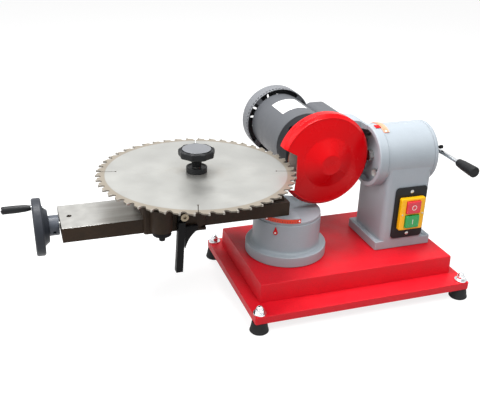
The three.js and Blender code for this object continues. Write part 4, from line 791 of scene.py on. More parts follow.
    def piece(
        self,
        name: str,
        finish: str,
        body: str,
        *nodes: str,
        faces: Optional[Callable[[bpy.types.MeshPolygon], Optional[str]]] = None,
        smooth_angle: float = 38.0,
    ) -> None:
        """Finishes the shape as a piece of the machine.

        Args:
            name: the piece's name.
            finish: its main finish.
            body: the CAD body that it rides on.
            nodes: the CAD nodes that it stands for.
            faces: names another finish for some of its faces.
            smooth_angle: edges sharper than this many degrees stay crisp.
        """
        self.apply(TO_FRAME)
        limit = math.radians(smooth_angle)
        for edge in self.mesh.edges:
            edge.smooth = edge.calc_face_angle(0.0) < limit
        for face in self.mesh.faces:
            face.smooth = True
        made = self._object(name)
        data = made.data
        data.materials.append(dressed(finish))
        slots = {finish: 0}
        for polygon in data.polygons if faces else ():
            other = faces(polygon) or finish
            if other not in slots:
                slots[other] = len(slots)
                data.materials.append(dressed(other))
            polygon.material_index = slots[other]
        made.modifiers.new("even_shading", "WEIGHTED_NORMAL").keep_sharp = True
        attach(made, body)
        if nodes:
            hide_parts(*nodes)
        log.info("%s: %d faces on %s", name, len(data.polygons), body)


def refined(node: str, finish: str, body: str, bevel: float, **options: Callable) -> None:
    """Makes a soft-edged copy of a CAD node that stands for it.

    Args:
        node: the CAD node's name.
        finish: the copy's finish.
        body: the CAD body that it rides on.
        bevel: the width of its softened edges.
        options: passed on to Form.piece.
    """
    Form.of_node(node).softened(bevel).piece(f"{node}_dress", finish, body, node, **options)


@dataclass
class Scale:
    """The strokes and the rivets on a scale strip that is bent round a housing.

    Attributes:
        axis: the axis that the strip is bent round, Z or X.
        centre: the point of that axis from which stations count.
        seat: the radius that the strip lies on.
        span: the angles of its two ends, in degrees.
        foot: the station where the strokes start.
        count: how many strokes there are.
        every: each stroke of this number is a long one.
        lengths: the long strokes' and the others' length.
        half_width: half a stroke's width.
        stroke_inset: how far from an end the first stroke is, in degrees.
        rivet_inset: how far from an end the rivet is, in degrees.
        rivet_station: the rivets' station.
        rivet: the profile of a rivet's head, as radius and height over the seat.
    """

    axis: Axis
    centre: Point
    seat: float
    span: Flat
    foot: float
    count: int
    every: int
    lengths: Flat
    half_width: float
    stroke_inset: float
    rivet_inset: float
    rivet_station: float
    rivet: Profile

    def strokes(self) -> Form:
        """Makes the strokes, standing a little proud of the strip.

        Returns:
            All the strokes.
        """
        low, high = self.seat + 0.8, self.seat + 1.12
        width = Vector((0, self.half_width, 0))
        first, last = self.span[0] + self.stroke_inset, self.span[1] - self.stroke_inset
        made = Form()
        for place in range(self.count):
            end = self.foot + self.lengths[0 if place % self.every == 0 else 1]
            near = Vector(self.axis.place(low, self.foot)) - width
            far = Vector(self.axis.place(high, end)) + width
            turn = first + (last - first) * place / (self.count - 1)
            made.with_(self._at(Form.block(near, far), turn))
        return made.moved(self.centre)

    def rivets(self) -> Form:
        """Makes the small round head at each end.

        Returns:
            Both heads.
        """
        outward = Axis.X if self.axis is Axis.Z else Axis.Z
        profile = [(radius, self.seat + rise) for radius, rise in self.rivet]
        made = Form()
        for turn in (self.span[0] + self.rivet_inset, self.span[1] - self.rivet_inset):
            head = Form.turned(outward, profile, self.axis.place(0, self.rivet_station), 24)
            made.with_(self._at(head, turn))
        return made.moved(self.centre)

    def _at(self, form: Form, turn: float) -> Form:
        """Swings a form from the start of turning, which is +X about Z and +Z about X."""
        return form.swung(self.axis, turn if self.axis is Axis.Z else turn - 90.0)


def corner_radius(across: float) -> float:
    """Gives the radius of a hexagon's corners from its width across the flats."""
    return across / 2 / math.cos(math.pi / 6)


@dataclass
class Base:
    """The plate, the box on it, the rubber feet and their bolts."""

    foot_place: Flat = (183.0, 124.5)
    foot_radii: Flat = (15.6, 12.0)  # at the underside, at the top
    foot_height: float = 19.5
    deck: float = 13.3
    shank: Flat = (4.0, -12.0)  # radius, lower end
    washer: Flat = (10.5, 2.0)  # radius, thickness
    nut: Flat = (13.0, 6.5)  # across flats, height
    dome: float = 5.6
    steps: int = 48

    def build(self) -> None:
        """Builds the base."""
        refined("base_plate", "textured_red", "base", 1.0)
        refined("base_box", "textured_red", "base", 0.9)
        x, y = self.foot_place
        for corner, place in {
            "front_left": (-x, -y), "front_right": (x, -y), "rear_left": (-x, y), "rear_right": (x, y),
        }.items():
            self.foot(*place).piece(f"rubber_foot_{corner}", "rubber", "base", f"foot_{corner}")
            self.bolt(*place).piece(
                f"domed_bolt_{corner}", "chrome", "base", f"foot_bolt_{corner}", smooth_angle=30,
            )

    def foot(self, x: float, y: float) -> Form:
        """Makes a tapering rubber foot with a fine step round it.

        Args:
            x: where it stands along X.
            y: where it stands along Y.

        Returns:
            The foot.
        """
        low, high = self.foot_radii
        top = self.foot_height - GAP
        profile = [
            (0, 0), (low - 2, 0), (low, 2), (low - 0.6, 5), (low - 1.3, 5.5), (low - 1.2, 6),
            (high, top), (0, top),
        ]
        return Form.turned(Axis.Z, profile, (x, y, -self.foot_height), self.steps).softened(0.5)

    def bolt(self, x: float, y: float) -> Form:
        """Makes a domed hexagon nut on a round washer, on its bolt.

        Args:
            x: where it stands along X.
            y: where it stands along Y.

        Returns:
            The bolt with its washer and its nut.
        """
        shank, foot = self.shank
        radius, thick = self.washer
        across, height = self.nut
        seat = self.deck + thick
        above = seat + height
        washer = Form.turned(Axis.Z, [
            (0, foot), (shank, foot), (shank, self.deck), (radius, self.deck), (radius, seat), (0, seat),
        ], (x, y, 0), self.steps).softened(0.4)
        nut = Form.rod(Axis.Z, corner_radius(across), (x, y, seat), height, 6).softened(0.5)
        crown = arc((0, above), self.dome, range(0, 90, 15))
        profile = [(0, above - 1), *crown, (0, above + self.dome)]
        return washer.with_(nut, Form.turned(Axis.Z, profile, (x, y, 0), self.steps))


@dataclass
class Pedestal:
    """The round cast pedestal, its pointer, and the table with its scale."""

    ring: Flat = (69.2, 18.2)  # radius, height
    drum: Flat = (57.4, 70.7)  # radius, height of its top
    fillet: float = 4.5
    inside: Flat = (50.4, 60.7)  # radius, height of its roof
    bush: Flat = (32.3, 32.4)  # radius, lower end
    spigot: Flat = (24.0, 38.0)  # radius, depth
    table: float = 56.6
    table_height: float = 4.5
    seat_height: float = 12.9
    bolt_holes: Point = (5.3, 37.0, 12.0)  # radius, distance behind the axis, half apart
    pointer: Point = (230.0, 57.0, 1.6)  # turn, height, thickness
    dot_size: Flat = (1.6, 0.25)  # radius, thickness
    scale_span: Flat = (210.0, 271.0)
    scale_rise: float = 4.6
    scale_width: float = 7.0
    rivet: Profile = ((0, 0.6), (1.5, 0.6), (1.5, 1.2), (0.9, 1.7), (0, 1.8))
    steps: int = 144

    @property
    def table_low(self) -> float:
        """The height of the table's underside."""
        return BOX_TOP + self.drum[1] + GAP

    def build(self) -> None:
        """Builds the pedestal."""
        low = self.table_low + self.scale_rise
        scale = Scale(
            axis=Axis.Z, centre=(SWIVEL_X, AXIS_Y, 0.0), seat=self.table, span=self.scale_span,
            foot=low + 0.8, count=13, every=3, lengths=(3.4, 2.1), half_width=0.32, stroke_inset=6.0,
            rivet_inset=2.6, rivet_station=low + self.scale_width / 2, rivet=self.rivet,
        )
        self.housing().piece("pedestal_casting", "cast_grey", "base", "swivel_base")
        refined("swivel_pointer", "gloss_red", "base", 0.25)
        self.dot().piece("swivel_pointer_dot", "mark_white", "base")
        self.turntable().piece("turntable", "cast_grey", "arm", "swivel_table")
        refined("swivel_scale", "scale_orange", "arm", 0.1)
        scale.strokes().piece("swivel_scale_ticks", "mark_dark", "arm")
        scale.rivets().piece("swivel_scale_rivets", "chrome", "arm")

    def housing(self) -> Form:
        """Turns the pedestal with a fillet between its ring and its drum.

        Returns:
            The hollow casting.
        """
        ring, height = self.ring
        drum, top = self.drum
        inside, roof = self.inside
        bush, low = self.bush
        bore = self.spigot[0] + GAP
        curve = arc((drum + self.fillet, height + self.fillet), self.fillet, range(270, 179, -18))
        profile = [
            (ring, 0), (ring, height), *curve, (drum, top), (bore, top), (bore, low), (bush, low),
            (bush, roof), (inside, roof), (inside, 0),
        ]
        form = Form.turned(Axis.Z, profile, (SWIVEL_X, AXIS_Y, BOX_TOP), self.steps)
        return form.softened(1.6, 4, 50)

    def turntable(self) -> Form:
        """Turns the table, and cuts it down beside the arm's seat.

        Returns:
            The table with its spigot and two bolt holes.
        """
        low = self.table_low
        spigot, depth = self.spigot
        disc = Form.turned(Axis.Z, [
            (0, -depth), (spigot, -depth), (spigot, 0), (self.table, 0), (self.table, self.seat_height),
            (0, self.seat_height),
        ], (SWIVEL_X, AXIS_Y, low), self.steps).softened(0.8, 3, 50)
        side = Form.block(
            (SWIVEL_X + 1, AXIS_Y - 70, low + self.table_height), (SWIVEL_X + 70, AXIS_Y + 70, low + 30),
        )
        radius, back, apart = self.bolt_holes
        holes = [
            Form.rod(Axis.Z, radius, (SWIVEL_X - back, AXIS_Y + way * apart, low + 1.6), 30)
            for way in (-1, 1)
        ]
        return disc.cut(side, *holes)

    def dot(self) -> Form:
        """Makes the pale dot on the pointer's bulb.

        Returns:
            The dot.
        """
        turn, height, thick = self.pointer
        radius, rise = self.dot_size
        dot = Form.rod(Axis.X, radius, (self.drum[0] + GAP + thick, 0, BOX_TOP + height), rise, 24)
        return dot.swung(Axis.Z, turn).moved((SWIVEL_X, AXIS_Y, 0))


@dataclass
class Arm:
    """The arm bar, its clamp, the lead screw and the handwheel."""

    ground_from: float = 153.0
    wheel_right: float = -480.6
    screw_z: float = 141.0
    screw_span: Flat = (-497.9, -255.3)  # its ends
    journal: float = 4.5
    thread: Flat = (6.0, 4.9)  # radius of the crest, of the root
    thread_span: Flat = (-440.0, -263.0)
    lead: float = 4.0
    ridge: tuple[float, ...] = (0.0, 1.2, 2.2, 3.4)  # stations of its corners
    turn_steps: int = 20
    rim: Flat = (44.2, 34.0)  # outer radius, inner radius
    rim_width: float = 14.0
    hub: Flat = (24.0, 21.6)  # radius, length
    cone: float = 33.0
    collar: Flat = (15.6, 15.0)  # radius, length
    collar_bore: float = 6.3
    collar_hole: float = 2.6
    crank_radius: float = 33.0
    grip: Flat = (5.9, 43.0)  # radius, length
    grip_bore: float = 3.1

    def build(self) -> None:
        """Builds the arm."""
        refined("arm_bar", "dark_iron", "arm", 0.5, faces=self.ground)
        refined("arm_clamp_plate", "dark_iron", "arm", 0.4)
        for end in ("front", "rear"):
            refined(f"arm_clamp_bolt_{end}", "steel", "arm", 0.4)
        self.screw().piece("threaded_screw", "steel", "handwheel", "lead_screw")
        self.wheel().piece("handwheel_disc", "wheel_plastic", "handwheel", "handwheel")
        self.clamp_ring().piece("handwheel_clamp_ring", "collar_grey", "handwheel", "handwheel_collar")
        refined("crank_pin", "chrome", "handwheel", 0.3)
        self.handle().piece("crank_handle", "black_plastic", "crank_grip", "crank_grip")

    def ground(self, polygon: bpy.types.MeshPolygon) -> Optional[str]:
        """Names the ground finish for the faces on top of the bar."""
        height = (TO_FRAME.inverted() @ polygon.center).z
        return "ground_top" if polygon.normal.z > 0.9 and height > self.ground_from else None

    def screw(self) -> Form:
        """Makes the screw with its round thread.

        Returns:
            The screw.
        """
        left, right = self.screw_span
        first, last = self.thread_span
        crest, root = self.thread
        core = Form.turned(Axis.X, [
            (0, left), (crest, left), (crest, first), (root, first + 1), (root, last - 1),
            (self.journal, last), (self.journal, right), (0, right),
        ], (0, AXIS_Y, self.screw_z), 32)
        mesh = bmesh.new()
        reach = (root - 0.3, crest, crest, root - 0.3)
        face = mesh.faces.new([mesh.verts.new(Axis.X.place(r, s)) for r, s in zip(reach, self.ridge)])
        turns = int((last - first - 2 * self.lead) / self.lead)
        steps = self.turn_steps * turns
        bmesh.ops.spin(
            mesh, geom=[face], cent=(0, 0, 0), axis=(1, 0, 0), dvec=(self.lead * turns / steps, 0, 0),
            angle=math.tau * turns, steps=steps, use_merge=False,
        )
        bmesh.ops.remove_doubles(mesh, verts=mesh.verts, dist=0.0005)
        bmesh.ops.recalc_face_normals(mesh, faces=mesh.faces)
        return core.with_(Form(mesh).moved((first + 1, AXIS_Y, self.screw_z)))

    def wheel(self) -> Form:
        """Turns the solid handwheel with its conical hub.

        Returns:
            The wheel.
        """
        hub, length = self.hub
        left = -length
        right = left + self.rim_width
        outer, inner = self.rim
        profile = [
            (0, 0), (hub, 0), (hub + 1.2, -1.2), (self.cone - 3, right + 0.4), (self.cone, right - 1.2),
            (inner + 1, right - 0.3), (outer - 2, right), (outer, right - 2), (outer, left + 2),
            (outer - 2, left), (inner, left), (inner - 7, left + 4), (12, left + 4), (10, left + 2.5),
            (0, left + 2.5),
        ]
        disc = Form.turned(Axis.X, profile, (self.wheel_right, AXIS_Y, self.screw_z), 128)
        return disc.softened(0.7, 3, 24)

    def clamp_ring(self) -> Form:
        """Turns the collar beside the wheel, with a screw hole at the front.

        Returns:
            The collar.
        """
        radius, length = self.collar
        bore = self.collar_bore
        start = self.wheel_right + GAP
        profile = [(bore, 0), (radius, 0), (radius, length), (bore, length)]
        ring = Form.turned(Axis.X, profile, (start, AXIS_Y, self.screw_z)).softened(0.8, 3, 50)
        mouth = (start + length / 2, AXIS_Y - radius - 3, self.screw_z)
        hole = Form.rod(Axis.Y, self.collar_hole, mouth, 7, 24)
        return ring.cut(hole.swung(Axis.X, 20, (0, AXIS_Y, self.screw_z)))

    def handle(self) -> Form:
        """Turns the swelling crank handle.

        Returns:
            The handle.
        """
        radius, length = self.grip
        bore = self.grip_bore
        start = -self.hub[1] - 0.5
        end = start - length + 0.6
        profile = [
            (bore, start), (4, start), (4, start - 1.5), (radius - 1, start - 6),
            (radius - 0.5, start - 10), (radius, start - length * 0.5), (radius, end + 1.6),
            (radius - 1.2, end + 0.3), (radius - 2, end), (bore, end),
        ]
        place = (self.wheel_right, AXIS_Y, self.screw_z + self.crank_radius)
        return Form.turned(Axis.X, profile, place, 64).softened(0.25, 2, 24)


@dataclass
class Carriage:
    """The saddle on the bar, its nut and bolt, the arbor and the tooth stop."""

    boss: Flat = (-317.0, -42.0)  # X, Y
    boss_foot: float = 137.0
    front: float = -38.6
    toe: Profile = ((-258.0, 129.9), (-243.0, 129.0), (-243.0, 140.0), (-245.0, 138.0))
    washer: Flat = (14.5, 7.8)  # radius, thickness
    bolt_size: Point = (4.8, 119.0, 160.0)  # radius, lower end, upper end
    pivot: Point = (-283.0, -38.5, 157.0)
    head: Flat = (6.5, 6.0)  # radius, length
    shank: Point = (3.0, -6.6, 6.0)  # radius, front end, back end
    socket: float = 5.0

    def build(self) -> None:
        """Builds the carriage."""
        self.saddle().piece("saddle_casting", "dark_iron", "carriage", "carriage_saddle")
        refined("lead_screw_nut", "dark_iron", "carriage", 0.4)
        self.bolt().piece("boss_screw", "black_iron", "carriage", "boss_bolt")
        refined("blade_arbor", "steel", "carriage", 0.4)
        self.screw().piece("socket_screw", "brass", "carriage", "finger_screw", smooth_angle=30)
        refined("finger_bar", "black_iron", "tooth_stop", 0.6)
        refined("finger_plate", "black_iron", "tooth_stop", 0.4)

    def saddle(self) -> Form:
        """Trims the foot of the boss and the lower right corner off the cast saddle.

        Returns:
            The saddle.
        """
        x, y = self.boss
        foot = Form.block((x - 22, y - 22, 125), (x + 22, self.front, self.boss_foot))
        toe = Form.drawn(Axis.Y, self.toe, -60, 80)
        return Form.of_node("carriage_saddle").cut(foot, toe).softened(1.0, 3)

    def bolt(self) -> Form:
        """Turns the bolt under the boss with its thick washer.

        Returns:
            The bolt and its washer as one shape.
        """
        radius, low, high = self.bolt_size
        wide, deep = self.washer
        seat = self.boss_foot - GAP
        under = self.boss_foot - deep
        profile = [
            (0, low), (radius, low), (radius, under), (wide, under), (wide, seat), (radius, seat),
            (radius, high), (0, high),
        ]
        return Form.turned(Axis.Z, profile, (*self.boss, 0), 64).softened(0.8, 3, 50)

    def screw(self) -> Form:
        """Turns the cap screw on which the tooth stop hangs, with its hexagon socket.

        Returns:
            The screw.
        """
        x, y, z = self.pivot
        radius, length = self.head
        thin, before, behind = self.shank
        seat, back = y + before, y + behind
        end = seat - length
        body = Form.turned(Axis.Y, [
            (0, back), (thin, back), (thin, seat), (radius, seat), (radius, end), (0, end),
        ], (x, 0, z), 64).softened(0.7, 3, 50)
        return body.cut(Form.rod(Axis.Y, corner_radius(self.socket), (x, end - 1, z), 4, 6))


@dataclass
class Blade:
    """The saw blade, its collar and its knob."""

    radius: float = 157.5
    thick: float = 2.2
    bore: float = 15.0
    teeth: int = 48
    rest_turn: float = -0.7
    gullet: float = 9.0
    face: float = 5.5
    stand: float = 0.4
    gullet_curve: Profile = ((0.08, 0.92), (0.2, 1.0), (0.34, 0.8), (0.47, 0.3))  # pitch, depth
    tip: Point = (6.0, 2.6, 3.2)  # length, width, thickness
    slots: int = 4
    slot_turn: float = 10.2  # in teeth
    slot_size: Flat = (22.0, 1.2)  # length, width
    slot_end: float = 1.7
    collar: Flat = (16.6, 8.5)  # radius, height
    bolt_bore: float = 6.3
    knob: float = 29.0
    knob_span: Flat = (231.7, 243.7)  # underside, top
    neck: Point = (7.5, 11.4, 215.2)  # lower radius, upper radius, bottom
    lobes: int = 9
    lobe_depth: float = 2.2
    disc: float = 24.0

    def build(self) -> None:
        """Builds the blade and what clamps it."""
        self.plate().piece(
            "blade_plate", "blade_steel", "saw_blade", "saw_blade", faces=self.edges, smooth_angle=50,
        )
        self.tips().piece("blade_tips", "carbide", "saw_blade")
        self.ring().piece("clamp_ring", "black_plastic", "clamp_collar", "clamp_collar")
        self.star().piece("knob_head", "black_plastic", "clamp_knob", "clamp_knob")
        self.cap().piece("knob_cap", "knob_disc", "clamp_knob")

    def edges(self, polygon: bpy.types.MeshPolygon) -> Optional[str]:
        """Names the darker finish for the blade's cut edge."""
        return "blade_edge" if abs(polygon.normal.z) < 0.5 else None

    def in_place(self, form: Form) -> Form:
        """Turns a shape made about the origin as the blade rests, and puts it on its axis."""
        return form.swung(Axis.Z, self.rest_turn).moved((BLADE_X, AXIS_Y, HEAD_Z))

    def plate(self) -> Form:
        """Draws the toothed outline, rounds its gullets and cuts the bore and the slots.

        Returns:
            The blade.
        """
        pitch = math.tau / self.teeth
        body = self.radius - self.stand
        tooth = [(body, 0.0), (body - self.face, 0.0)]
        tooth += [(body - self.gullet * depth, pitch * along) for along, depth in self.gullet_curve]
        outline = [
            (reach * math.cos(pitch * place + turn), reach * math.sin(pitch * place + turn))
            for place in range(self.teeth) for reach, turn in tooth
        ]
        form = Form.drawn(Axis.Z, outline, -self.thick / 2, self.thick / 2)
        form.rounded(Axis.Z, 1.3, 3, within=body - 2)
        tools = [Form.rod(Axis.Z, self.bore, (0, 0, -5), 10, 96)]
        mouth = self.radius - self.gullet
        length, width = self.slot_size
        for place in range(self.slots):
            slit = Form.block((mouth - length, -width / 2, -5), (mouth + 1, width / 2, 5))
            end = Form.rod(Axis.Z, self.slot_end, (mouth - length, 0, -5), 10, 24)
            turn = math.degrees(pitch) * (self.slot_turn + place * self.teeth / self.slots)
            tools += [tool.swung(Axis.Z, turn) for tool in (slit, end)]
        return self.in_place(form.cut(*tools))

    def tips(self) -> Form:
        """Makes the hard tip on the face of every tooth.

        Returns:
            All the tips.
        """
        length, width, thick = self.tip
        tip = Form.block((self.radius - length, -width, -thick / 2), (self.radius, 0.15, thick / 2))
        return self.in_place(tip.softened(0.3).around(Axis.Z, self.teeth))

    def ring(self) -> Form:
        """Turns the black collar with its dished top.

        Returns:
            The collar.
        """
        radius, height = self.collar
        bore = self.bolt_bore
        low = HEAD_Z + self.thick / 2 + GAP
        dish = height - 1.2
        return Form.turned(Axis.Z, [
            (bore, 0), (radius, 0), (radius, height), (radius - 2.2, height), (radius - 3.6, dish),
            (bore, dish),
        ], (BLADE_X, AXIS_Y, low)).softened(0.7, 3, 40)

    def star(self) -> Form:
        """Makes the scalloped head with its waisted neck and the groove round its cap.

        Returns:
            The knob.
        """
        outline = []
        for turn in (math.tau * step / (self.lobes * 12) for step in range(self.lobes * 12)):
            reach = self.knob - self.lobe_depth * (0.5 - 0.5 * math.cos(self.lobes * turn)) ** 0.8
            outline.append((reach * math.cos(turn), reach * math.sin(turn)))
        under, top = self.knob_span
        head = Form.drawn(Axis.Z, outline, under, top).softened(3.2, 5, 60)
        inner, outer, floor = self.disc - 1.2, self.disc + 0.6, top - 1.4
        profile = [(inner, floor), (outer, floor), (outer, top + 1), (inner, top + 1)]
        groove = Form.turned(Axis.Z, profile, steps=128)
        low, high, bottom = self.neck
        bore = self.bolt_bore
        neck = Form.turned(Axis.Z, [
            (bore, bottom), (low, bottom), (low, bottom + 3.0), (low + 0.6, bottom + 7.0),
            (high - 1.6, bottom + 11.0), (high + 0.6, bottom + 14.0), (high + 4.5, under),
            (high + 6.5, under + 1.2), (bore, under + 1.2),
        ])
        return head.cut(groove).with_(neck).moved((BLADE_X, AXIS_Y, 0))

    def cap(self) -> Form:
        """Turns the pale disc in the top of the knob.

        Returns:
            The disc.
        """
        edge, top = self.disc - 1.4, self.knob_span[1]
        return Form.turned(Axis.Z, [
            (0, top - 1.2), (edge, top - 1.2), (edge, top + 0.5), (edge - 0.8, top + 0.95),
            (0, top + 0.7),
        ], (BLADE_X, AXIS_Y, 0), 128)


@dataclass
class Column:
    """The column with the head's housing, its end cap, its scale, its gland and its switch."""

    upright: tuple[Flat, Flat] = ((67.0, 151.7), (-42.9, 54.5))  # along X, along Y
    corner: float = 10.0
    wall: float = 7.0
    foot: tuple[Flat, Flat] = ((57.5, 166.6), (-42.9, 59.9))  # along X, along Y
    foot_height: float = 15.9
    rib: tuple[Flat, Flat] = ((59.4, 64.6), (-36.0, 52.0))  # along X, along Y
    rib_height: float = 0.9
    pad: Flat = (159.2, -34.0)  # X, Y
    housing: float = 52.6
    collar: float = 53.4
    start: float = 64.5
    bore: float = 21.8
    pocket: Flat = (42.6, 9.0)  # radius, depth
    gland: Point = (9.3, 109.35, 40.0)  # radius, X, rise
    cap_length: float = 8.5
    cap_bore: float = 10.3
    cap_round: float = 5.0
    lug: tuple[Flat, Flat] = ((-14.0, -2.1), (-12.8, 3.2))  # along Y, along Z from the axis
    lug_end: float = 178.0
    lever_pin: tuple[float, ...] = (3.0, 172.5, -7.5, 19.7)  # radius, X, Y, length
    stop_hole: Point = (2.5, -38.5, 18.0)  # radius, Y and Z from the axis
    scale_span: Flat = (64.0, 118.0)
    scale_length: float = 10.0
    rivet: Profile = ((0, 0.6), (1.7, 0.6), (1.7, 1.2), (1.0, 1.8), (0, 1.9))
    switch_centre: Flat = (116.5, 114.0)  # X, Z
    switch_depths: tuple[float, ...] = (2.5, 7.5, 4.0)  # plate, frame, buttons
    button_rise: float = 13.3
    plate_screws: Point = (115.2, 113.5, 39.5)  # X, height of their middle, half apart
    frame_screws: float = 19.2  # half apart
    steps: int = 144

    def build(self) -> None:
        """Builds the column."""
        scale = Scale(
            axis=Axis.X, centre=(self.start, AXIS_Y, HEAD_Z), seat=self.collar, span=self.scale_span,
            foot=0.8, count=11, every=5, lengths=(5.2, 3.2), half_width=0.3, stroke_inset=8.0,
            rivet_inset=3.2, rivet_station=self.scale_length / 2, rivet=self.rivet,
        )
        self.casting().piece("column_casting", "cast_grey", "base", "head_column")
        self.pads().piece("column_foot_pads", "cast_grey", "base")
        self.end_cap().piece("end_cap", "cast_grey", "base", "head_end_cap")
        refined("feed_stop_screw", "black_iron", "base", 0.3)
        refined("head_scale", "scale_faded", "base", 0.1)
        scale.strokes().piece("head_scale_ticks", "scale_orange", "base")
        scale.rivets().piece("head_scale_rivets", "chrome", "base")
        refined("cable_gland", "black_plastic", "base", 0.4)
        self.switch()

    def casting(self) -> Form:
        """Joins the foot, the upright and the round housing, and hollows them.

        Returns:
            The casting.
        """
        (x0, x1), (y0, y1) = self.foot
        foot = Form.block((x0, y0, BOX_TOP), (x1, y1, BOX_TOP + self.foot_height))
        foot.rounded(Axis.Z, 4.0, 5).softened(1.4, 3, 60)
        (left, right), (front, back) = self.upright
        upright = Form.block((left, front, BOX_TOP + 2), (right, back, HEAD_Z))
        upright.rounded(Axis.Z, self.corner, 8)
        length = right - self.start
        housing = Form.turned(Axis.X, [
            (0, 0), (self.collar, 0), (self.collar, 1.5), (self.housing, 2.3), (self.housing, length),
            (0, length),
        ], (self.start, AXIS_Y, HEAD_Z), self.steps).softened(0.5, 2, 60)
        wall = self.wall
        cavity = Form.block(
            (left + wall, front + wall, BOX_TOP - 5), (right - wall, back - wall, HEAD_Z - 60),
        ).rounded(Axis.Z, 6.0, 4)
        mouth = (self.start - 5, AXIS_Y, HEAD_Z)
        bore = Form.rod(Axis.X, self.bore, mouth, length + 10, 96)
        radius, depth = self.pocket
        pocket = Form.rod(Axis.X, radius, mouth, depth + 5, self.steps)
        radius, x, rise = self.gland
        gland = Form.rod(Axis.Y, radius, (x, back - 10, BOX_TOP + rise), 20, 48)
        return foot.joined(upright, housing).cut(cavity, bore, pocket, gland)

    def pads(self) -> Form:
        """Makes the raised rib on the foot's left edge and the small pad at its right.

        Returns:
            Both.
        """
        top, rise = BOX_TOP + self.foot_height, self.rib_height
        (x0, x1), (y0, y1) = self.rib
        rib = Form.block((x0, y0, top - 1), (x1, y1, top + rise))
        rib.rounded(Axis.Z, 2.5, 5).softened(0.7, 3, 60)
        profile = [(0, -1), (5.2, -1), (5.2, rise), (4.4, rise + 0.8), (0, rise + 1.0)]
        return rib.with_(Form.turned(Axis.Z, profile, (*self.pad, top), 48))

    def end_cap(self) -> Form:
        """Turns the end cap and adds the lug and the pin of the lever.

        Returns:
            The cap.
        """
        start = self.upright[0][1] + GAP
        end = start + self.cap_length
        edge = self.cap_round
        curve = arc((self.housing - edge, end - edge), edge, range(0, 91, 15))
        cap = Form.turned(Axis.X, [
            (self.cap_bore, start), (self.housing, start), *curve, (30, end), (28.5, end - 1.0),
            (self.cap_bore, end - 1.0),
        ], (0, AXIS_Y, HEAD_Z), self.steps)
        (y0, y1), (z0, z1) = self.lug
        lug = Form.block((end - 4.2, y0, HEAD_Z + z0), (self.lug_end, y1, HEAD_Z + z1))
        lug.rounded(Axis.Y, 3.0, 4).softened(0.8, 2, 60)
        radius, x, y, tall = self.lever_pin
        pin = Form.rod(Axis.Z, radius, (x, y, HEAD_Z - 4), tall)
        radius, y, rise = self.stop_hole
        hole = Form.rod(Axis.X, radius, (end - 5, AXIS_Y + y, HEAD_Z + rise), 10, 24)
        return cap.cut(hole).with_(lug, pin)

    def switch(self) -> None:
        """Builds the switch: plate, frame, two marked buttons and four screws."""
        refined("switch_plate", "black_plastic", "base", 0.5)
        refined("switch_frame", "switch_yellow", "base", 0.4)
        refined("stop_button", "stop_red", "stop_button", 0.5)
        refined("start_button", "start_green", "start_button", 0.5)
        x, z = self.switch_centre
        plate, rim, press = self.switch_depths
        face = self.upright[1][0] - GAP - plate
        mark = face - GAP - rim - press + 0.12
        high, low = z + self.button_rise, z - self.button_rise
        circle = [(3.6, 0), (4.6, 0), (4.6, -0.25), (3.6, -0.25)]
        Form.turned(Axis.Y, circle, (x, mark, high), 48).piece("stop_mark", "mark_white", "stop_button")
        bar = Form.block((x - 0.5, mark - 0.25, low - 4.6), (x + 0.5, mark, low + 4.6))
        bar.piece("start_mark", "mark_white", "start_button")
        plate_x, middle, reach = self.plate_screws
        screws = Form()
        for way in (-1, 1):
            screws.with_(self.screw((plate_x, face, middle + way * reach), 3.1))
        for way in (-1, 1):
            screws.with_(self.screw((x + way * self.frame_screws, face - GAP - rim, z), 1.5))
        screws.piece("switch_screws", "steel", "base")

    def screw(self, place: Point, radius: float) -> Form:
        """Makes a small cross-slotted screw head that faces forward.

        Args:
            place: the middle of its seat.
            radius: its radius.

        Returns:
            The head.
        """
        head = Form.turned(
            Axis.Y, [(0, 0.6), (radius, 0.6), (radius, -0.4), (radius * 0.7, -0.9), (0, -1.0)], steps=32,
        )
        long, wide = radius * 0.6, radius * 0.13
        slots = [Form.block((-a, -2, -b), (a, -0.5, b)) for a, b in ((long, wide), (wide, long))]
        return head.cut(*slots).moved(place)


@dataclass
class Head:
    """The tilting bracket, the feed shaft with its bolts, and the hand lever."""

    lever: Point = (172.5, -7.5, 214.0)
    lean: float = -1.5
    grip_bore: float = 4.05
    grip_span: Flat = (-75.5, -120.5)  # its ends
    grip: Point = (6.5, 8.0, 9.0)  # radius at the neck, in the middle, at the end
    rod_end: float = -87.3

    def build(self) -> None:
        """Builds the head."""
        refined("head_bracket", "cast_grey", "grinding_head", 0.8)
        refined("head_pointer", "gloss_red", "grinding_head", 0.2)
        for name in ("feed_shaft", "tilt_bolt_upper", "tilt_bolt_lower", "pivot_bolt"):
            refined(name, "steel", "feed_shaft", 0.4)
        refined("feed_lever", "chrome", "feed_lever", 0.4)
        self.handle().piece("lever_handle", "black_plastic", "feed_lever", "lever_grip")

    def handle(self) -> Form:
        """Turns the tapering handle with its flat dark end.

        Returns:
            The handle.
        """
        start, end = self.grip_span
        neck, middle, wide = self.grip
        bore = self.grip_bore
        profile = [
            (bore, start), (neck, start), (neck + 0.2, start - 1.0),
            (middle, start + (end - start) * 0.3), (wide, end + 6.0), (wide, end + 1.6),
            (wide - 1.4, end + 0.2), (wide - 2.4, end + 0.2), (wide - 2.8, end + 0.9), (0, end + 0.9),
            (0, self.rod_end), (bore, self.rod_end),
        ]
        return Form.turned(Axis.Y, profile, steps=64).swung(Axis.Z, self.lean).moved(self.lever)


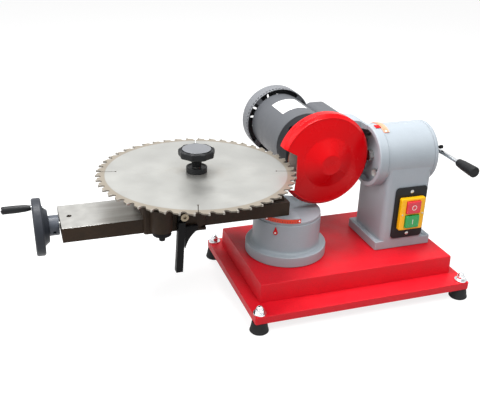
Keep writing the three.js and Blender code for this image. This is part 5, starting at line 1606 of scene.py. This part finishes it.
@dataclass
class Motor:
    """The motor, the grinding wheel and its guard."""

    centre: Point = (MOTOR_X, AXIS_Y, MOTOR_Z)
    radius: float = 54.0
    shaft_bore: float = 8.4
    bell: Flat = (24.5, 76.5)  # its ends
    bell_hole: Point = (4.6, 55.5, -136.0)  # radius, station, turn
    body_end: Flat = (50.0, 209.8)  # radius, station
    cover: float = 63.5
    cover_wall: float = 1.8
    cover_span: Flat = (204.0, 246.0)  # its ends
    lip_slots: int = 60
    back_slots: int = 14
    terminal: tuple[Flat, Flat, Flat] = ((32.0, 75.5), (84.0, 162.0), (-30.0, 47.5))  # along X, Y and Z
    label_span: Flat = (-34.5, 16.0)  # turns of its edges
    label_length: Flat = (112.0, 166.0)  # its ends
    label_rise: Flat = (0.05, 0.25)  # its faces over the casing
    guard: float = 79.3
    guard_wall: float = 2.0
    guard_x: float = -31.5
    guard_edge: Flat = (6.5, -8.5)  # back, front
    guard_face: Profile = (
        (75.4, -12.4), (74.6, -14.3), (73.4, -15.1), (72.2, -14.7), (60, -17.6), (44, -20.7),
        (40.5, -21.9), (30, -27.4), (20.5, -32.4), (18, -33.9), (15.5, -34.9), (12, -35), (3, -34.6),
        (2.2, -34.4), (0, -34.6),
    )
    guard_back: Profile = ((0, -33), (16, -33), (19.5, -31), (42, -19), (71.4, -12.2))
    notch: Profile = (
        (-53.3, -47.5), (-53.3, 15.4), (-82.3, 30.4), (-108.3, 30.4), (-108.3, -47.5),
    )
    guard_slots: Flat = (122.0, 134.0)
    disc: Profile = (
        (10, 0.5), (62.5, 0.5), (62.5, 3.5), (53, 10.1), (40, 10.1), (36, 6.1), (21, 6.1), (17.3, 10.1),
        (10, 10.1),
    )
    steps: int = 160

    def build(self) -> None:
        """Builds the motor."""
        self.front_bell().piece("motor_front_bell", "bell_grey", "grinding_head", "motor_bell")
        self.casing().piece("motor_casing", "motor_grey", "grinding_head", "motor_body")
        self.label().piece("motor_label", "label_white", "grinding_head")
        self.fan_cover().piece("fan_hood", "cover_grey", "grinding_head", "fan_cover")
        self.terminal_box().piece("terminal_case", "motor_grey", "grinding_head", "terminal_box")
        refined("guard_bracket", "bell_grey", "grinding_head", 0.4)
        self.shield().piece("guard_shield", "gloss_red", "grinding_head", "wheel_guard")
        refined("rotor_shaft", "steel", "rotor", 0.3)
        refined("cooling_fan", "black_plastic", "rotor", 0.3)
        self.turned(self.disc).softened(0.3, 2, 40).piece(
            "grinding_disc", "abrasive", "rotor", "grinding_wheel", faces=self.front,
        )
        refined("wheel_nut", "steel", "rotor", 0.4)

    def turned(self, profile: Sequence[Flat]) -> Form:
        """Turns a profile about the motor's axis."""
        return Form.turned(Axis.Y, profile, self.centre, self.steps)

    def front(self, polygon: bpy.types.MeshPolygon) -> Optional[str]:
        """Names the paler finish for the grinding wheel's front face."""
        return "abrasive_face" if polygon.normal.y < -0.9 else None

    def front_bell(self) -> Form:
        """Turns the dark bell with a round hole in its upper left side.

        Returns:
            The bell.
        """
        first, last = self.bell
        bore, rim = self.shaft_bore, self.radius
        bell = self.turned([
            (bore, first), (rim - 7, first), (rim, first + 7), (rim, last), (bore, last),
        ]).softened(2.6, 5, 30)
        radius, along, turn = self.bell_hole
        hole = Form.rod(Axis.X, radius, (rim - 6, along, 0), 10, 48).swung(Axis.Y, turn)
        return bell.cut(hole.moved(self.centre))

    def casing(self) -> Form:
        """Turns the smooth casing, and adds the lugs that carry the fan's cover.

        Returns:
            The casing.
        """
        start = self.bell[1] + GAP
        bore = self.shaft_bore
        end_radius, end = self.body_end
        body = self.turned([
            (bore, start), (self.radius, start), (self.radius, end - 5), (end_radius, end), (bore, end),
        ]).softened(0.8, 3, 40)
        lug = Form.block((45, end - 5.5, -6), (61.4, end - 0.5, 6)).softened(0.6).swung(Axis.Y, 45)
        return body.with_(lug.around(Axis.Y, 4).moved(self.centre))

    def label(self) -> Form:
        """Bends a blank white label onto the casing's upper left side.

        Returns:
            The label.
        """
        low, high = (self.radius + rise for rise in self.label_rise)
        first, last = self.label_length
        strip = Form.turned(
            Axis.Y, [(low, first), (high, first), (high, last), (low, last)], steps=self.steps,
        )
        mesh = strip.mesh
        for turn in (self.label_span[0] - 90.0, self.label_span[1] + 90.0):
            normal = Vector((math.sin(math.radians(turn)), 0, math.cos(math.radians(turn))))
            cut = bmesh.ops.bisect_plane(
                mesh, geom=mesh.verts[:] + mesh.edges[:] + mesh.faces[:], plane_co=(0, 0, 0),
                plane_no=normal, clear_outer=True,
            )
            rim = [g for g in cut["geom_cut"] if isinstance(g, bmesh.types.BMEdge)]
            bmesh.ops.holes_fill(mesh, edges=rim, sides=0)
        bmesh.ops.recalc_face_normals(mesh, faces=mesh.faces)
        return strip.moved(self.centre)

    def fan_cover(self) -> Form:
        """Turns the fan's cover, with slots behind its lip and in its back.

        Returns:
            The cover.
        """
        first, last = self.cover_span
        outer, wall = self.cover, self.cover_wall
        inner = outer - wall
        shell = self.turned([
            (outer, first), (outer, last - 12), (outer - 3.5, last - 3.5), (outer - 12, last), (0, last),
            (0, last - wall), (inner - 10.5, last - wall), (inner - 2.6, last - 4.4), (inner, last - 12),
            (inner, first),
        ]).softened(1.2, 3, 25)
        slot = Form.block((inner - 3, first + 2.2, -1.9), (outer + 3, first + 6.2, 1.9))
        vent = Form.block((20, last - 6, -2), (44, last + 3, 2)).rounded(Axis.Y, 1.8, 4)
        slot.around(Axis.Y, self.lip_slots).with_(vent.around(Axis.Y, self.back_slots))
        return shell.cut(slot.moved(self.centre))

    def terminal_box(self) -> Form:
        """Makes the rounded box on the casing's right side.

        Returns:
            The box, hollowed to the casing.
        """
        low, high = zip(*self.terminal)
        box = Form.block(low, high).rounded(Axis.Y, 12.0, 8).softened(2.6, 4, 60)
        core = Form.rod(Axis.Y, self.radius + GAP, (0, 0, 0), 250, self.steps)
        return box.cut(core).moved(self.centre)

    def shield(self) -> Form:
        """Turns the dished guard and cuts its notch and the slots in its rim.

        Returns:
            The guard.
        """
        rim, wall = self.guard, self.guard_wall
        back, front = self.guard_edge
        shell = Form.turned(Axis.Y, [
            (rim, back), (rim, front), (rim - 2, front - 2), *self.guard_face, *self.guard_back,
            (rim - wall, front), (rim - wall, back),
        ], steps=self.steps).softened(0.6, 2, 28)
        notch = Form.drawn(Axis.Y, self.notch, -45.0, 20.0)
        slots = [
            Form.block((rim - 6, -2.0, -4.5), (rim + 6, -0.3, 4.5)).swung(Axis.Y, -turn)
            for turn in self.guard_slots
        ]
        return shell.cut(notch, *slots).moved((self.guard_x, AXIS_Y, MOTOR_Z))


@dataclass
class Studio:
    """The floor, the lamps and the camera.

    Attributes:
        position: where the camera stands.
        azimuth: how far it looks to the right of +Y, in degrees.
        down: how far it looks down.
        roll: how far it leans.
        focal: its focal length, in pixels of the photograph.
        width: the photograph's width in pixels.
        sensor: the width of the camera's sensor.
        paper: the floor's shade.
        paper_glow: the light that the camera sees it give.
        sky: the strength of the even light.
        aim: the point that the lamps shine at.
        lamps: each lamp's name, place, size in metres and power.
    """

    position: Point = (-507.97, -955.83, 609.91)
    azimuth: float = 19.075
    down: float = 25.21
    roll: float = 1.623
    focal: float = 681.55
    width: int = 480
    sensor: float = 36.0
    paper: float = 0.30
    paper_glow: float = 0.82
    sky: float = 0.40
    aim: Point = (-80.0, 0.0, 130.0)
    lamps: tuple[tuple[str, Point, float, float], ...] = (
        ("key", (250.0, -1000.0, 1700.0), 1.0, 20.0),
        ("left", (-1300.0, -350.0, 1100.0), 1.3, 17.0),
        ("top", (-350.0, 300.0, 1700.0), 1.0, 37.0),
    )

    def build(self) -> None:
        """Builds the whole studio."""
        bpy.context.scene.view_settings.view_transform = "Standard"
        self._floor()
        self._world()
        self._lamps()
        self._camera()

    def _floor(self) -> None:
        """Lays a pale floor that shows white to the camera and keeps the shadows."""
        mesh = bmesh.new()
        bmesh.ops.create_grid(mesh, x_segments=1, y_segments=1, size=6.0)
        data = bpy.data.meshes.new("floor")
        mesh.to_mesh(data)
        mesh.free()
        paper = bpy.data.materials.new("paper")
        paper.use_nodes = True
        tree = paper.node_tree
        tree.nodes.clear()
        net = Net(tree)
        matt = net.node("ShaderNodeBsdfDiffuse", (self.paper, self.paper, self.paper))
        glow = net.node("ShaderNodeEmission")
        net.fill(glow.inputs["Strength"], self._seen(net, self.paper_glow))
        both = net.node("ShaderNodeAddShader", matt.outputs["BSDF"], glow.outputs["Emission"])
        net.node("ShaderNodeOutputMaterial", both.outputs["Shader"])
        data.materials.append(paper)
        in_scene("floor", data)

    def _seen(self, net: Net, strength: float) -> Socket:
        """Gives a strength that only camera, glossy and transmission rays see.

        Args:
            net: the net of the floor's or the sky's material.
            strength: the strength.

        Returns:
            The strength, or 0 for other rays.
        """
        path = net.node("ShaderNodeLightPath").outputs
        kinds = net.math("MAXIMUM", path["Is Camera Ray"], path["Is Glossy Ray"])
        return net.math("MULTIPLY", net.math("MAXIMUM", kinds, path["Is Transmission Ray"]), strength)

    def _world(self) -> None:
        """Lights everything evenly from a pale sky."""
        world = bpy.data.worlds.new("studio")
        bpy.context.scene.world = world
        world.use_nodes = True
        net = Net(world.node_tree)
        sky = world.node_tree.nodes["Background"].inputs
        net.fill(sky["Color"], (1.0, 1.0, 1.0))
        net.fill(sky["Strength"], net.math("ADD", self._seen(net, 1.0 - self.sky), self.sky))

    def _lamps(self) -> None:
        """Hangs three soft lamps: one high in front, one at the left, one above and behind."""
        for name, place, size, power in self.lamps:
            light = bpy.data.lights.new(name, "AREA")
            light.shape = "DISK"
            light.size = size
            light.energy = power
            there = TO_FRAME @ Vector(place)
            turn = (TO_FRAME @ Vector(self.aim) - there).to_track_quat("-Z", "Y").to_matrix().to_4x4()
            in_scene(name, light).matrix_world = Matrix.Translation(there) @ turn

    def _camera(self) -> None:
        """Puts the camera where the photographer stood."""
        az, el, roll = (math.radians(a) for a in (self.azimuth, self.down, self.roll))
        ahead = Vector((math.sin(az) * math.cos(el), math.cos(az) * math.cos(el), -math.sin(el)))
        level = ahead.cross(Vector((0, 0, 1))).normalized()
        over = level.cross(ahead)
        right = math.cos(roll) * level + math.sin(roll) * over
        up = -math.sin(roll) * level + math.cos(roll) * over
        lens = bpy.data.cameras.new("camera")
        lens.sensor_width = self.sensor
        lens.lens = self.focal * self.sensor / self.width
        lens.clip_start = 0.05
        eye = in_scene("camera", lens)
        turn = Matrix((right, up, -ahead)).transposed().to_4x4()
        eye.matrix_world = Matrix.Translation(TO_FRAME @ Vector(self.position)) @ turn
        bpy.context.scene.camera = eye


def main() -> None:
    """Builds every sub-assembly and the studio."""
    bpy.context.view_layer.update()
    Studio().build()
    for assembly in (Base(), Pedestal(), Arm(), Carriage(), Blade(), Column(), Head(), Motor()):
        log.info("building the %s", type(assembly).__name__.lower())
        assembly.build()


if __name__ == "__main__":
    main()
